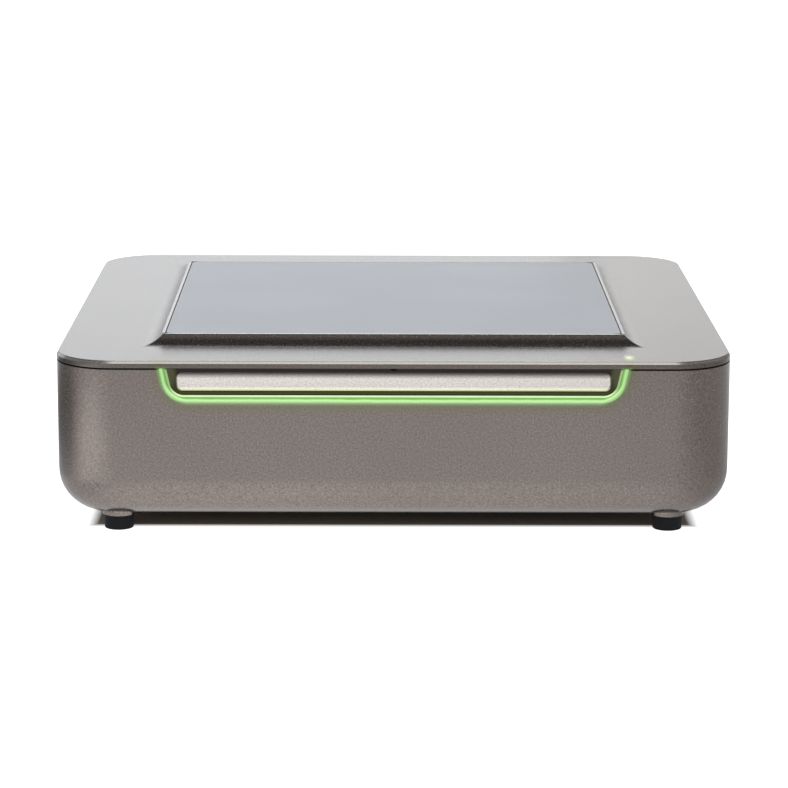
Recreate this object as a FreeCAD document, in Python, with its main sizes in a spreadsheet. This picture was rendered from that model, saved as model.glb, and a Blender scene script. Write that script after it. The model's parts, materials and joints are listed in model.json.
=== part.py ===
"""Table-top audiometer: a shallow housing with a raised panel on its cover, a lit front recess round a
push bar, and a recessed connector panel at the back.

Millimetres. X runs to the right, Y to the back and Z up. The origin is on the surface it stands on,
under the middle of the housing.
"""
import FreeCAD, Part

import math
import os
import re

import Sketcher

# ---------------------------------------------------------------- driving dimensions
SIZES = {
    # housing
    "body_width": 285.0,
    "body_depth": 270.0,
    "housing_height": 65.0,
    "corner_radius": 25.6,
    "base_rounding": 18.0,
    "wall": 3.0,
    "inner_chamfer": 12.0,
    "rim_chamfer": 0.4,
    # feet and the bosses they are glued to
    "foot_height": 6.2,
    "foot_radius": 6.2,
    "foot_boss": 0.9,
    "foot_boss_radius": 6.9,
    "foot_inset_side": 25.8,
    "foot_inset_front": 18.5,
    # cover
    "parting_gap": 0.4,
    "cover_edge": 3.2,
    "cover_bevel": 1.1,
    "lip_depth": 3.0,
    "lip_thick": 1.8,
    "lip_clearance": 0.25,
    "lip_gap_side": 5.0,
    "lip_gap_deep": 20.0,
    # platform on the cover and the panel sunk in it
    "platform_rise": 3.6,
    "platform_lip": 0.5,
    "platform_rim": 1.2,
    "platform_skin": 2.2,
    "flare_reach": 8.2,
    "hollow_margin": 6.0,
    "panel_width": 195.4,
    "panel_depth": 183.6,
    "panel_thick": 1.5,
    "panel_radius": 3.0,
    "panel_gap": 0.35,
    "panel_bevel": 0.2,
    # cover screws and their columns
    "column_half": 4.8,
    "column_inset_side": 20.5,
    "column_inset_front": 49.0,
    "column_drop": 8.0,
    "screw_radius": 1.5,
    "screw_clearance": 0.3,
    "screw_head_radius": 2.9,
    "screw_head": 2.4,
    "screw_seat": 4.0,
    "screw_reach": 0.6,
    "screw_end_gap": 0.2,
    # front recess and the light guide that lines it
    "recess_width": 195.6,
    "recess_drop": 14.1,
    "recess_slant": 12.3,
    "recess_radius": 9.0,
    "guide_thick": 2.15,
    "guide_deep": 8.0,
    "guide_clearance": 0.15,
    # tray behind the light guide
    "bezel_gap": 0.15,
    "bezel_thick": 1.1,
    "bezel_deep": 16.6,
    "bezel_back": 2.0,
    "bezel_front": 0.3,
    "bezel_drop": 0.1,
    "shelf_half": 9.0,
    "shelf_deep": 12.0,
    "shelf_thick": 1.6,
    "ear_side": 70.0,
    "ear_half": 6.0,
    "ear_post": 6.0,
    "lug_side": 30.0,
    "lug_half": 4.0,
    "lug_drop": 9.0,
    "lug_thick": 2.6,
    # push bar and its carrier
    "bar_side_gap": 1.07,
    "bar_height": 8.2,
    "bar_recess": 3.0,
    "bar_thick": 3.0,
    "bar_corner": 2.6,
    "bar_bevel": 0.6,
    "bar_gap": 0.9,
    "carrier_thick": 2.2,
    "carrier_inset": 15.8,
    "carrier_step": 1.0,
    "rib_inset": 6.0,
    "rib_thick": 1.2,
    "rib_height": 1.0,
    "rib_drop": 3.1,
    "flag_half": 0.6,
    "flag_rise": 2.4,
    "flag_lead": 0.6,
    "flag_clearance": 0.6,
    # headed pins and leaf springs behind the bar
    "pin_radius": 2.0,
    "pin_clearance": 0.05,
    "pin_spread": 48.0,
    "pin_head_radius": 3.6,
    "pin_head_thick": 1.2,
    "pin_head_gap": 0.3,
    "pin_room": 5.0,
    "leaf_side": 24.0,
    "leaf_half": 9.0,
    "leaf_thick": 0.3,
    "leaf_rise": 2.0,
    # light barrier that reads the bar
    "sensor_gap": 5.0,
    "sensor_half": 4.6,
    "sensor_slot": 1.4,
    "sensor_deep": 5.0,
    "sensor_rise": 3.4,
    "sensor_sink": 3.0,
    # lamp board
    "lamp_gap": 0.1,
    "lamp_thick": 1.3,
    "lamp_half": 1.4,
    "lamp_low": 0.3,
    "lamp_high": 1.8,
    "lamp_inset": 12.0,
    "lamp_board_thick": 1.2,
    "lamp_board_inset": 6.0,
    "lamp_board_drop": 6.0,
    "lamp_tab_start": 1.8,
    "lamp_tab_over": 5.0,
    "lamp_tab_rise": 7.4,
    # status light
    "status_beyond": 0.6,
    "status_inset": 9.0,
    "pipe_radius": 1.1,
    "pipe_clearance": 0.05,
    "pipe_proud": 0.1,
    "pipe_gap": 0.1,
    "status_lamp_half": 2.2,
    "status_lamp_rise": 3.0,
    "status_lamp_high": 4.5,
    # main board on staked posts
    "board_thick": 1.6,
    "board_rise": 20.3,
    "board_side_gap": 30.5,
    "board_front_gap": 37.0,
    "board_back_gap": 9.4,
    "post_half": 3.5,
    "post_inset": 8.0,
    "post_back_inset": 10.0,
    "peg_half": 1.5,
    "peg_clearance": 0.1,
    "peg_rise": 1.0,
    "notch_margin": 3.2,
    # parts on the main board
    "shield_width": 50.0,
    "shield_depth": 50.0,
    "shield_height": 7.0,
    "shield_shift": 5.0,
    "shield_front": 38.0,
    "chip_size": 20.0,
    "chip_height": 2.0,
    "chip_side": 36.0,
    "chip_front": 54.0,
    "sink_base": 2.5,
    "fin_height": 9.5,
    "fin_thick": 2.0,
    "fin_pitch": 4.5,
    "supply_width": 40.0,
    "supply_depth": 52.0,
    "supply_height": 16.0,
    "supply_inset": 14.0,
    "supply_back": 33.6,
    "capacitor_width": 8.0,
    "capacitor_depth": 11.0,
    "capacitor_height": 14.0,
    "capacitor_gap": 8.0,
    "capacitor_pitch": 13.0,
    "relay_width": 10.0,
    "relay_depth": 16.0,
    "relay_height": 9.0,
    "relay_gap": 13.8,
    "converter_size": 12.0,
    "converter_height": 1.6,
    "converter_pitch": 30.0,
    "converter_shift": 20.0,
    "converter_gap": 32.0,
    # flat cable from the lamp board to the main board
    "ribbon_side": 55.0,
    "ribbon_half": 7.0,
    "ribbon_thick": 0.5,
    "ribbon_run": 3.0,
    "ribbon_drop": 4.0,
    "ribbon_rise": 5.0,
    "header_inset": 8.0,
    "header_half": 9.0,
    "header_deep": 2.4,
    "header_height": 4.0,
    # rear connector panel
    "rear_width": 184.0,
    "rear_height": 28.0,
    "rear_rise": 9.0,
    "rear_recess": 3.0,
    "rear_thick": 2.0,
    "rear_ledge": 4.0,
    "rear_margin": 7.0,
    "rear_step": 2.5,
    "rear_clearance": 0.3,
    "rear_frame": 3.0,
    "rear_corner": 1.5,
    "socket_gap": 0.2,
    # audio sockets
    "jack_rise": 8.0,
    "jack_margin": 20.0,
    "jack_between": 2.5,
    "jack_height": 16.0,
    "jack_deep": 30.0,
    "jack_nose": 5.6,
    "jack_proud": 0.6,
    "jack_bore": 3.25,
    "jack_bore_deep": 28.0,
    # data socket, power inlet and power switch
    "port_rise": 7.0,
    "usb_pitch": 21.5,
    "usb_half_width": 6.0,
    "usb_half_height": 5.5,
    "usb_mouth_width": 4.25,
    "usb_mouth_height": 3.9,
    "usb_deep": 16.0,
    "usb_back": 4.0,
    "usb_proud": 0.4,
    "tongue_half_width": 2.8,
    "tongue_half_height": 1.6,
    "tongue_inset": 1.0,
    "inlet_pitch": 16.0,
    "inlet_half": 5.0,
    "inlet_deep": 14.0,
    "inlet_back": 3.0,
    "inlet_nose": 4.7,
    "inlet_bore": 3.1,
    "inlet_pin": 1.05,
    "rocker_pitch": 17.0,
    "rocker_margin": 17.0,
    "rocker_tilt": 10.0,
    "rocker_half": 6.7,
    "rocker_width": 9.6,
    "rocker_face": 3.2,
    "rocker_root": 0.4,
    "rocker_heel": 2.6,
    "rocker_heel_half": 3.4,
    "rocker_side_gap": 0.3,
    "rocker_end_gap": 1.55,
    "rocker_pin": 1.0,
    "rocker_pin_inset": 2.8,
    "switch_wall": 1.2,
    "switch_flange": 1.5,
    "switch_flange_thick": 1.4,
    "switch_deep": 16.0,
    "switch_cavity": 9.0,
    "blade_half": 3.2,
    "blade_length": 8.0,
    "blade_thick": 0.8,
    "blade_shift": 5.0,
}
JACKS = 6
LAMPS = 16
FINS = 5
CAPACITORS = 3
CONVERTERS = 4
# how far a cut runs past the face it opens, and how far a pad runs into what carries it
PAST = "1"
BITE = "0.5"

# heights and depths that several pieces share, written in the words of the sheet
BASE = "(foot_height + foot_boss)"
FLOOR = f"({BASE} + wall)"
INTO_FLOOR = f"({FLOOR} - {BITE})"
RIM = f"({BASE} + housing_height)"
COVER_UNDER = f"({RIM} + parting_gap)"
COVER_TOP = f"({COVER_UNDER} + cover_edge)"
INTO_COVER = f"({COVER_UNDER} + {BITE})"
PLATFORM_TOP = f"({COVER_TOP} + platform_rise)"
FRONT = "(-body_depth / 2)"
BACK = "(body_depth / 2)"
FOOT_X = "(body_width / 2 - foot_inset_side)"
FOOT_Y = "(body_depth / 2 - foot_inset_front)"
COLUMN_X = "(body_width / 2 - column_inset_side)"
COLUMN_Y = "(body_depth / 2 - column_inset_front)"
COLUMN_TOP = f"({RIM} - column_drop)"

RECESS_FLOOR = f"({RIM} - recess_drop)"
GUIDE_BACK = f"({FRONT} + guide_deep)"
BEZEL_INSET = "(guide_clearance + guide_thick + bezel_gap)"
BEZEL_FRONT = f"({FRONT} + bezel_front)"
BEZEL_FLOOR = f"({RECESS_FLOOR} + {BEZEL_INSET})"
BEZEL_BACK = f"({FRONT} + bezel_deep)"
BEZEL_WALL = f"({BEZEL_BACK} - bezel_back)"
SHELF_TOP = f"({BEZEL_FLOOR} + shelf_thick)"
EAR_Y = f"({BEZEL_BACK} + ear_post)"

BAR_LOW = f"({BEZEL_FLOOR} + bezel_thick + bar_gap)"
BAR_MID = f"({BAR_LOW} + bar_height / 2)"
BAR_HIGH = f"({BAR_LOW} + bar_height)"
BAR_FRONT = f"({FRONT} + bar_recess)"
BAR_BACK = f"({BAR_FRONT} + bar_thick)"
SLOPE = "tan(recess_slant * 1 deg)"
TRAY_INSET = f"({BEZEL_INSET} + bezel_thick)"
TRAY_HALF = (f"(recess_width / 2 - {TRAY_INSET} / cos(recess_slant * 1 deg)"
             f" - (recess_drop - {TRAY_INSET}) * {SLOPE})")
BAR_HALF = f"({TRAY_HALF} - bar_side_gap)"
CARRIER_HALF = f"({BAR_HALF} - carrier_inset)"
CARRIER_BACK = f"({BAR_BACK} + carrier_thick)"
PIN_HEAD = f"({BEZEL_BACK} + pin_head_gap)"
SENSOR_FRONT = f"({BEZEL_BACK} + sensor_gap)"

LAMP_FRONT = f"({GUIDE_BACK} + lamp_gap)"
LAMP_BOARD = f"({LAMP_FRONT} + lamp_thick)"
LAMP_BOARD_BACK = f"({LAMP_BOARD} + lamp_board_thick)"
STATUS_X = "(recess_width / 2 + status_beyond)"
STATUS_Y = f"({FRONT} + status_inset)"
STATUS_LAMP_TOP = f"({RECESS_FLOOR} + status_lamp_rise + status_lamp_high)"

BOARD = f"({FLOOR} + board_rise)"
BOARD_TOP = f"({BOARD} + board_thick)"
BOARD_X = "(body_width / 2 - board_side_gap)"
BOARD_FRONT = "(board_front_gap - body_depth / 2)"
BOARD_BACK = "(body_depth / 2 - board_back_gap)"
HEADER_Y = f"({BOARD_FRONT} + header_inset)"

PANEL_FACE = f"({BACK} - rear_recess)"
PANEL_BACK = f"({PANEL_FACE} - rear_thick)"
LEDGE = f"({PANEL_BACK} - rear_ledge)"
REAR_MID = f"({BOARD_TOP} + rear_rise)"
REAR_HALF = "(rear_width / 2)"
SOCKET_BACK = f"({PANEL_BACK} - jack_deep)"
RELAY_BACK = f"({SOCKET_BACK} - relay_gap)"
PORT_ROW = "(usb_pitch + inlet_pitch + rocker_pitch + rocker_margin)"
JACK_PITCH = f"((rear_width - jack_margin - {PORT_ROW}) / {JACKS - 1})"
JACK_HALF = f"(({JACK_PITCH} - jack_between) / 2)"
JACK_Z = f"({BOARD_TOP} + jack_rise)"
PORT_Z = f"({BOARD_TOP} + port_rise)"
ROCKER_X = f"(rocker_margin - {REAR_HALF})"
INLET_X = f"({ROCKER_X} + rocker_pitch)"
USB_X = f"({INLET_X} + inlet_pitch)"
ROCKER_Y = f"({PANEL_FACE} - rocker_pin_inset)"
CAVITY_X = "(rocker_width / 2 + rocker_side_gap)"
CAVITY_Z = "(rocker_half + rocker_end_gap)"

doc = FreeCAD.newDocument("audiometer")
sheet = doc.addObject("Spreadsheet::Sheet", "Sizes")
for row, (alias, number) in enumerate(SIZES.items(), start=1):
    sheet.set(f"A{row}", alias.replace("_", " "))
    sheet.set(f"B{row}", str(number))
    sheet.setAlias(f"B{row}", alias)
doc.recompute()

KEPT = []


def bound(words):
    """An expression for the document, from one that names the sheet's aliases bare."""
    return re.sub(r"[a-z][a-z_]*", lambda w: "Sizes." + w[0] if w[0] in SIZES else w[0], str(words))


def number(words):
    """What an expression comes to."""
    return float(sheet.evalExpression(bound(words)))


def keep(made, label):
    """Marks a finished sub-part; its label names its file."""
    made.Label = label
    KEPT.append(made)
    return made


# ---------------------------------------------------------------- primitives
AXES = {
    "x": FreeCAD.Rotation(FreeCAD.Vector(0, 1, 0), 90),
    "y": FreeCAD.Rotation(FreeCAD.Vector(1, 0, 0), -90),
    "z": FreeCAD.Rotation(),
}


def box(name, x, y, z):
    """A block between pairs of coordinates."""
    made = doc.addObject("Part::Box", name)
    for size, axis, (low, high) in zip(("Length", "Width", "Height"), "xyz", (x, y, z)):
        made.setExpression(size, bound(f"({high}) - ({low})"))
        made.setExpression(f".Placement.Base.{axis}", bound(low))
    return made


def cylinder(name, axis, radius, centre, low, high, kind="Part::Cylinder", size="Radius"):
    """A round bar along an axis; centre holds its two other coordinates, in X, Y, Z order."""
    made = doc.addObject(kind, name)
    made.Placement = FreeCAD.Placement(FreeCAD.Vector(), AXES[axis])
    made.setExpression(size, bound(radius))
    made.setExpression("Height", bound(f"({high}) - ({low})"))
    others = [letter for letter in "xyz" if letter != axis]
    for letter, place in zip([*others, axis], [*centre, low]):
        made.setExpression(f".Placement.Base.{letter}", bound(place))
    return made


def hexagon(name, axis, radius, centre, low, high):
    """A six-sided bar, sized to its corners."""
    return cylinder(name, axis, radius, centre, low, high, kind="Part::Prism", size="Circumradius")


def joined(name, pieces):
    made = doc.addObject("Part::MultiFuse", name)
    made.Shapes = pieces
    return made


def less(name, base, tools):
    made = doc.addObject("Part::Cut", name)
    made.Base = base
    made.Tool = tools[0] if len(tools) == 1 else joined(name + "_tools", tools)
    return made


def group(name, pieces):
    """Identical loose pieces that share a node."""
    made = doc.addObject("Part::Compound", name)
    made.Links = pieces
    return made


# ---------------------------------------------------------------- sketched features
def new_body(name):
    return doc.addObject("PartDesign::Body", name)


def new_sketch(body, name, plane, offset):
    """An empty sketch parallel to one of the body's own planes."""
    sketch = body.newObject("Sketcher::SketchObject", name)
    origin = next(o for o in body.Origin.OriginFeatures if o.Role == plane)
    sketch.AttachmentSupport = [(origin, "")]
    sketch.MapMode = "FlatFace"
    sketch.setExpression("AttachmentOffset.Base.z", bound(offset))
    return sketch


def hold_point(sketch, geometry, position, place):
    """Ties one point of the sketch to the sheet."""
    for kind, words in zip(("DistanceX", "DistanceY"), place):
        row = sketch.addConstraint(Sketcher.Constraint(kind, -1, 1, geometry, position, number(words)))
        sketch.setExpression(f"Constraints[{row}]", bound(words))


def draw_outline(sketch, corners, arcs=None):
    """A closed outline through corners. arcs maps a side's place in the outline to (radius, turn), where
    turn is 1 when the arc's centre lies to the left of its way and -1 when it lies to the right."""
    arcs = arcs or {}
    first = sketch.GeometryCount
    points = [FreeCAD.Vector(number(x), number(y), 0) for x, y in corners]
    for side, start in enumerate(points):
        end = points[(side + 1) % len(points)]
        if side in arcs:
            radius, turn = arcs[side]
            chord = end - start
            left = FreeCAD.Vector(-chord.y, chord.x, 0).normalize() * turn
            reach = math.sqrt(number(radius) ** 2 - chord.Length ** 2 / 4)
            middle = (start + end) * 0.5
            crown = middle + left * (reach - number(radius))
            sketch.addGeometry(Part.Arc(start, crown, end), False)
        else:
            sketch.addGeometry(Part.LineSegment(start, end), False)
    ends = []
    for side in range(len(points)):
        # an arc is always stored anticlockwise, so its ends change places where it turns right
        swapped = side in arcs and arcs[side][1] < 0
        ends.append((2, 1) if swapped else (1, 2))
    for side in range(len(points)):
        after = (side + 1) % len(points)
        pair = (first + side, ends[side][1], first + after, ends[after][0])
        sketch.addConstraint(Sketcher.Constraint("Coincident", *pair))
    for side, place in enumerate(corners):
        hold_point(sketch, first + side, ends[side][0], place)
    for side, (radius, _) in arcs.items():
        row = sketch.addConstraint(Sketcher.Constraint("Radius", first + side, number(radius)))
        sketch.setExpression(f"Constraints[{row}]", bound(radius))


def draw_circles(sketch, centres, radius):
    for centre in centres:
        place = FreeCAD.Vector(number(centre[0]), number(centre[1]), 0)
        made = sketch.addGeometry(Part.Circle(place, FreeCAD.Vector(0, 0, 1), number(radius)), False)
        hold_point(sketch, made, 3, centre)
        row = sketch.addConstraint(Sketcher.Constraint("Radius", made, number(radius)))
        sketch.setExpression(f"Constraints[{row}]", bound(radius))


def extruded(body, kind, name, plane, low, high, draw, taper=None):
    """A pad or a pocket between two coordinates across the plane; draw fills its sketch."""
    # the XZ plane faces -Y, so its sketch starts at the high side
    offset = f"-({high})" if plane == "XZ_Plane" else low
    sketch = new_sketch(body, name + "_sketch", plane, offset)
    draw(sketch)
    made = body.newObject("PartDesign::" + kind, name)
    made.Profile = sketch
    made.setExpression("Length", bound(f"({high}) - ({low})"))
    if kind == "Pocket":
        made.Reversed = True
    if taper:
        made.setExpression("TaperAngle", bound(taper))
    before = body.Shape.Volume if not body.Shape.isNull() else 0.0
    doc.recompute()
    gained = made.Shape.Volume - before
    if (gained <= 0) == (kind == "Pad"):
        raise RuntimeError(f"{name} changes nothing: {gained:.3f} mm3")
    return made


def about(middle, reach):
    """The pair of coordinates that lie reach to either side of middle."""
    return f"({middle} - ({reach}))", f"({middle} + ({reach}))"


def past(low, high):
    """The pair of coordinates that a cut through low to high runs between."""
    return f"({low} - {PAST})", f"({high} + {PAST})"


def rectangle(x, y):
    """The corners of a rectangle between pairs of coordinates, anticlockwise."""
    return [(x[0], y[0]), (x[1], y[0]), (x[1], y[1]), (x[0], y[1])]


def centred(half_x, half_y):
    return rectangle((f"-({half_x})", half_x), (f"-({half_y})", half_y))


def rounded(half_x, half_y, radius):
    """A centred rectangle with round corners, anticlockwise, and its arcs."""
    corners = []
    for turn, (sign_x, sign_y) in enumerate((("-", "-"), ("", "-"), ("", ""), ("-", ""))):
        beside = (f"{sign_x}({half_x} - {radius})", f"{sign_y}{half_y}")
        above = (f"{sign_x}{half_x}", f"{sign_y}({half_y} - {radius})")
        corners += [beside, above] if turn % 2 else [above, beside]
    return corners, {side: (radius, 1) for side in (0, 2, 4, 6)}


def pad(body, name, plane, low, high, corners, arcs=None):
    return extruded(body, "Pad", name, plane, low, high, lambda s: draw_outline(s, corners, arcs))


def pocket(body, name, plane, low, high, corners, arcs=None, taper=None):
    return extruded(body, "Pocket", name, plane, low, high, lambda s: draw_outline(s, corners, arcs), taper)


def round_pads(body, name, plane, low, high, centres, radius):
    return extruded(body, "Pad", name, plane, low, high, lambda s: draw_circles(s, centres, radius))


def round_pockets(body, name, plane, low, high, centres, radius):
    return extruded(body, "Pocket", name, plane, low, high, lambda s: draw_circles(s, centres, radius))


def dressed(body, kind, name, size, chosen):
    """A fillet or chamfer on the edges of the body's tip that chosen picks."""
    base = body.Tip
    edges = [f"Edge{n}" for n, edge in enumerate(base.Shape.Edges, start=1) if chosen(edge)]
    if not edges:
        raise RuntimeError(f"{name} finds no edge")
    made = body.newObject("PartDesign::" + kind, name)
    made.Base = (base, edges)
    made.setExpression("Radius" if kind == "Fillet" else "Size", bound(size))
    doc.recompute()
    return made


def near(a, b):
    return abs(a - b) < 0.01


def runs_along(edge, axis):
    """Whether a straight edge runs along x, y or z."""
    box_of = edge.BoundBox
    spans = {"x": box_of.XLength, "y": box_of.YLength, "z": box_of.ZLength}
    across = [spans[letter] for letter in "xyz" if letter != axis]
    return spans[axis] > 0.01 and max(across) < 0.01


def lies_at(edge, axis, words):
    """Whether a whole edge lies at one coordinate."""
    bounds = edge.BoundBox
    low, high = {
        "x": (bounds.XMin, bounds.XMax),
        "y": (bounds.YMin, bounds.YMax),
        "z": (bounds.ZMin, bounds.ZMax),
    }[axis]
    return near(low, number(words)) and near(high, number(words))


def four(x, y):
    """A point and its mirror images."""
    return [(sx + x, sy + y) for sx in ("", "-") for sy in ("", "-")]


def both(x, y):
    """A point and its mirror image across the middle."""
    return [(x, y), (f"-{x}", y)]


def square(centre, half):
    """The corners of a square about a point."""
    return rectangle(*(about(place, half) for place in centre))


def square_pads(body, name, plane, low, high, centres, half, kind="Pad"):
    def draw(sketch):
        for centre in centres:
            draw_outline(sketch, square(centre, half))

    return extruded(body, kind, name, plane, low, high, draw)


def square_pockets(body, name, plane, low, high, centres, half):
    return square_pads(body, name, plane, low, high, centres, half, kind="Pocket")


# ---------------------------------------------------------------- places and outlines that pieces share
FEET = four(FOOT_X, FOOT_Y)
COLUMNS = four(COLUMN_X, COLUMN_Y)
EARS = both("ear_side", EAR_Y)
PINS = both("pin_spread", BAR_MID)
POSTS = [
    (f"{side}({BOARD_X} - post_inset)", y)
    for side in ("", "-")
    for y in (f"({BOARD_FRONT} + post_inset)", f"({BOARD_BACK} - post_back_inset)")
]


def recess_outline(inset, level=RIM):
    """The front recess, narrowing towards its floor and round in its lower corners, drawn in by an even
    inset; with its arcs."""
    radius = f"(recess_radius - ({inset}))"
    slant = f"(({inset}) / cos(recess_slant * 1 deg))"
    top = f"(recess_width / 2 - {slant} + (({level}) - {RIM}) * {SLOPE})"
    low = f"(recess_width / 2 - {slant} - (recess_drop - ({inset})) * {SLOPE})"
    floor = f"({RECESS_FLOOR} + ({inset}))"
    tangent = f"({radius} * tan((90 - recess_slant) / 2 * 1 deg))"
    leg_x = f"({low} + {tangent} * sin(recess_slant * 1 deg))"
    leg_z = f"({floor} + {tangent} * cos(recess_slant * 1 deg))"
    corners = [
        (f"-({low} - {tangent})", floor),
        (f"{low} - {tangent}", floor),
        (leg_x, leg_z),
        (top, level),
        (f"-{top}", level),
        (f"-{leg_x}", leg_z),
    ]
    return corners, {1: (radius, 1), 5: (radius, 1)}


def inner_outline(inset):
    """The housing's outline seen from above, drawn in by an even inset; with its arcs."""
    return rounded(f"(body_width / 2 - {inset})", f"(body_depth / 2 - {inset})", f"(corner_radius - {inset})")


# ---------------------------------------------------------------- housing
def make_housing():
    body = new_body("lower_housing")
    pad(body, "block", "XY_Plane", BASE, RIM, centred("body_width / 2", "body_depth / 2"))
    dressed(body, "Fillet", "corners", "corner_radius", lambda e: runs_along(e, "z"))
    dressed(body, "Fillet", "underside", "base_rounding", lambda e: lies_at(e, "z", BASE))
    dressed(body, "Chamfer", "rim_edge", "rim_chamfer", lambda e: lies_at(e, "z", RIM))
    # the inside widens evenly from its floor, so that the wall stays thick behind the rounded base
    wide = f"({FLOOR} + inner_chamfer)"
    pocket(body, "inside", "XY_Plane", wide, f"({RIM} + {PAST})", *inner_outline("wall"))
    pocket(body, "inside_foot", "XY_Plane", FLOOR, wide, *inner_outline("(wall + inner_chamfer)"), taper="45")

    round_pads(body, "foot_bosses", "XY_Plane", "foot_height", INTO_FLOOR, FEET, "foot_boss_radius")
    square_pads(body, "columns", "XY_Plane", INTO_FLOOR, COLUMN_TOP, COLUMNS, "column_half")
    round_pockets(body, "column_holes", "XY_Plane", *past(BASE, COLUMN_TOP), COLUMNS,
                  "screw_radius + screw_clearance")
    round_pockets(body, "head_holes", "XY_Plane", f"({BASE} - {PAST})", f"({BASE} + screw_seat)", COLUMNS,
                  "screw_head_radius + screw_clearance")
    make_posts(body, "board", POSTS, BOARD, BOARD_TOP)
    make_posts(body, "ear", EARS, BEZEL_FLOOR, SHELF_TOP)

    pocket(body, "recess", "XZ_Plane", f"({FRONT} - {PAST})", f"({FRONT} + wall + {PAST})",
           *recess_outline("0", f"({RIM} + {PAST})"))

    half = f"({REAR_HALF} + rear_clearance)"
    low = f"({REAR_MID} - rear_height / 2 - rear_clearance)"
    high = f"({REAR_MID} + rear_height / 2 + rear_clearance)"
    pad(body, "rear_surround", "XZ_Plane", LEDGE, f"({BACK} - wall + {BITE})",
        rectangle((f"-({half} + rear_frame)", f"{half} + rear_frame"),
                  (f"{low} - rear_frame", f"{high} + rear_frame")))
    pocket(body, "rear_seat", "XZ_Plane", PANEL_BACK, f"({BACK} + {PAST})",
           rectangle((f"-{half}", half), (low, high)))
    pocket(body, "rear_opening", "XZ_Plane", *past(LEDGE, PANEL_BACK),
           rectangle((f"-({half} - rear_margin)", f"{half} - rear_margin"),
                     (f"{low} + rear_step", f"{high} - rear_step")))
    return keep(body, "lower_housing")


def make_posts(body, name, places, seat, top):
    """Square posts whose pegs go through the piece that rests on them and are staked over it."""
    square_pads(body, name + "_posts", "XY_Plane", INTO_FLOOR, seat, places, "post_half")
    square_pads(body, name + "_pegs", "XY_Plane", f"({seat} - {BITE})", f"({top} + peg_rise)", places,
                "peg_half")


# ---------------------------------------------------------------- cover
def flare(foot, rim):
    """The regions cut away beside the platform, right and left: a hollow curve that leaves the cover flat
    and meets the platform's lip, with the arc on its first side."""
    drop = "(platform_rise - platform_lip)"
    lip = f"({COVER_TOP} + {drop})"
    above = f"({PLATFORM_TOP} + {PAST})"
    radius = f"((({foot}) - ({rim})) ^ 2 + {drop} ^ 2) / (2 * {drop})"
    right = [(foot, COVER_TOP), (rim, lip), (rim, above), (foot, above)]
    left = [(f"-{x}", z) for x, z in right]
    return (right, {0: (radius, -1)}), (left, {0: (radius, 1)})


def make_cover():
    body = new_body("top_cover")
    pad(body, "plate", "XY_Plane", COVER_UNDER, COVER_TOP, centred("body_width / 2", "body_depth / 2"))
    dressed(body, "Fillet", "corners", "corner_radius", lambda e: runs_along(e, "z"))
    dressed(body, "Chamfer", "top_edge", "cover_bevel", lambda e: lies_at(e, "z", COVER_TOP))

    seat_x = "(panel_width / 2 + panel_gap)"
    seat_y = "(panel_depth / 2 + panel_gap)"
    rim_x, rim_y = f"({seat_x} + platform_rim)", f"({seat_y} + platform_rim)"
    foot_x, foot_y = f"({rim_x} + flare_reach)", f"({rim_y} + flare_reach)"
    pad(body, "platform", "XY_Plane", f"({COVER_TOP} - {BITE})", PLATFORM_TOP, centred(foot_x, foot_y))
    for plane, foot, rim, reach in (
        ("XZ_Plane", foot_x, rim_x, "body_depth / 2"),
        ("YZ_Plane", foot_y, rim_y, "body_width / 2"),
    ):
        for side, (corners, arcs) in zip(("right", "left"), flare(foot, rim)):
            pocket(body, f"flare_{plane[:2]}_{side}", plane, f"-({reach})", reach, corners, arcs)

    seat_floor = f"({PLATFORM_TOP} - panel_thick)"
    pocket(body, "panel_seat", "XY_Plane", seat_floor, f"({PLATFORM_TOP} + {PAST})",
           *rounded(seat_x, seat_y, "panel_radius"))
    pocket(body, "hollow", "XY_Plane", f"({COVER_UNDER} - {PAST})", f"({seat_floor} - platform_skin)",
           centred("panel_width / 2 - hollow_margin", "panel_depth / 2 - hollow_margin"))

    lip_low = f"({RIM} - lip_depth)"

    def draw_lip(sketch):
        draw_outline(sketch, *inner_outline("(wall + lip_clearance)"))
        draw_outline(sketch, *inner_outline("(wall + lip_clearance + lip_thick)"))

    extruded(body, "Pad", "lip", "XY_Plane", lip_low, INTO_COVER, draw_lip)
    gap = "(recess_width / 2 + lip_gap_side)"
    pocket(body, "lip_gap", "XY_Plane", f"({lip_low} - {PAST})", COVER_UNDER,
           rectangle((f"-{gap}", gap), (f"{FRONT} - {PAST}", f"{FRONT} + lip_gap_deep")))

    square_pads(body, "cover_bosses", "XY_Plane", COLUMN_TOP, INTO_COVER, COLUMNS, "column_half")
    round_pockets(body, "boss_holes", "XY_Plane", f"({COLUMN_TOP} - {PAST})",
                  f"({COVER_UNDER} + screw_reach + screw_end_gap)", COLUMNS, "screw_radius")

    round_pockets(body, "pipe_hole", "XY_Plane", *past(COVER_UNDER, COVER_TOP), [(STATUS_X, STATUS_Y)],
                  "pipe_radius + pipe_clearance")
    return keep(body, "top_cover")


def make_top_panel():
    body = new_body("top_panel")
    pad(body, "sheet", "XY_Plane", f"({PLATFORM_TOP} - panel_thick)", PLATFORM_TOP,
        centred("panel_width / 2", "panel_depth / 2"))
    dressed(body, "Fillet", "corners", "panel_radius", lambda e: runs_along(e, "z"))
    dressed(body, "Chamfer", "edge", "panel_bevel", lambda e: lies_at(e, "z", PLATFORM_TOP))
    return keep(body, "top_panel")


# ---------------------------------------------------------------- front recess
def make_light_guide():
    """A clear strip along both legs and the floor of the recess."""
    body = new_body("light_guide")
    pad(body, "strip", "XZ_Plane", FRONT, GUIDE_BACK, *recess_outline("guide_clearance"))
    pocket(body, "inside", "XZ_Plane", *past(FRONT, GUIDE_BACK),
           *recess_outline("(guide_clearance + guide_thick)", f"({RIM} + {PAST})"))
    return keep(body, "light_guide")


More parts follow.
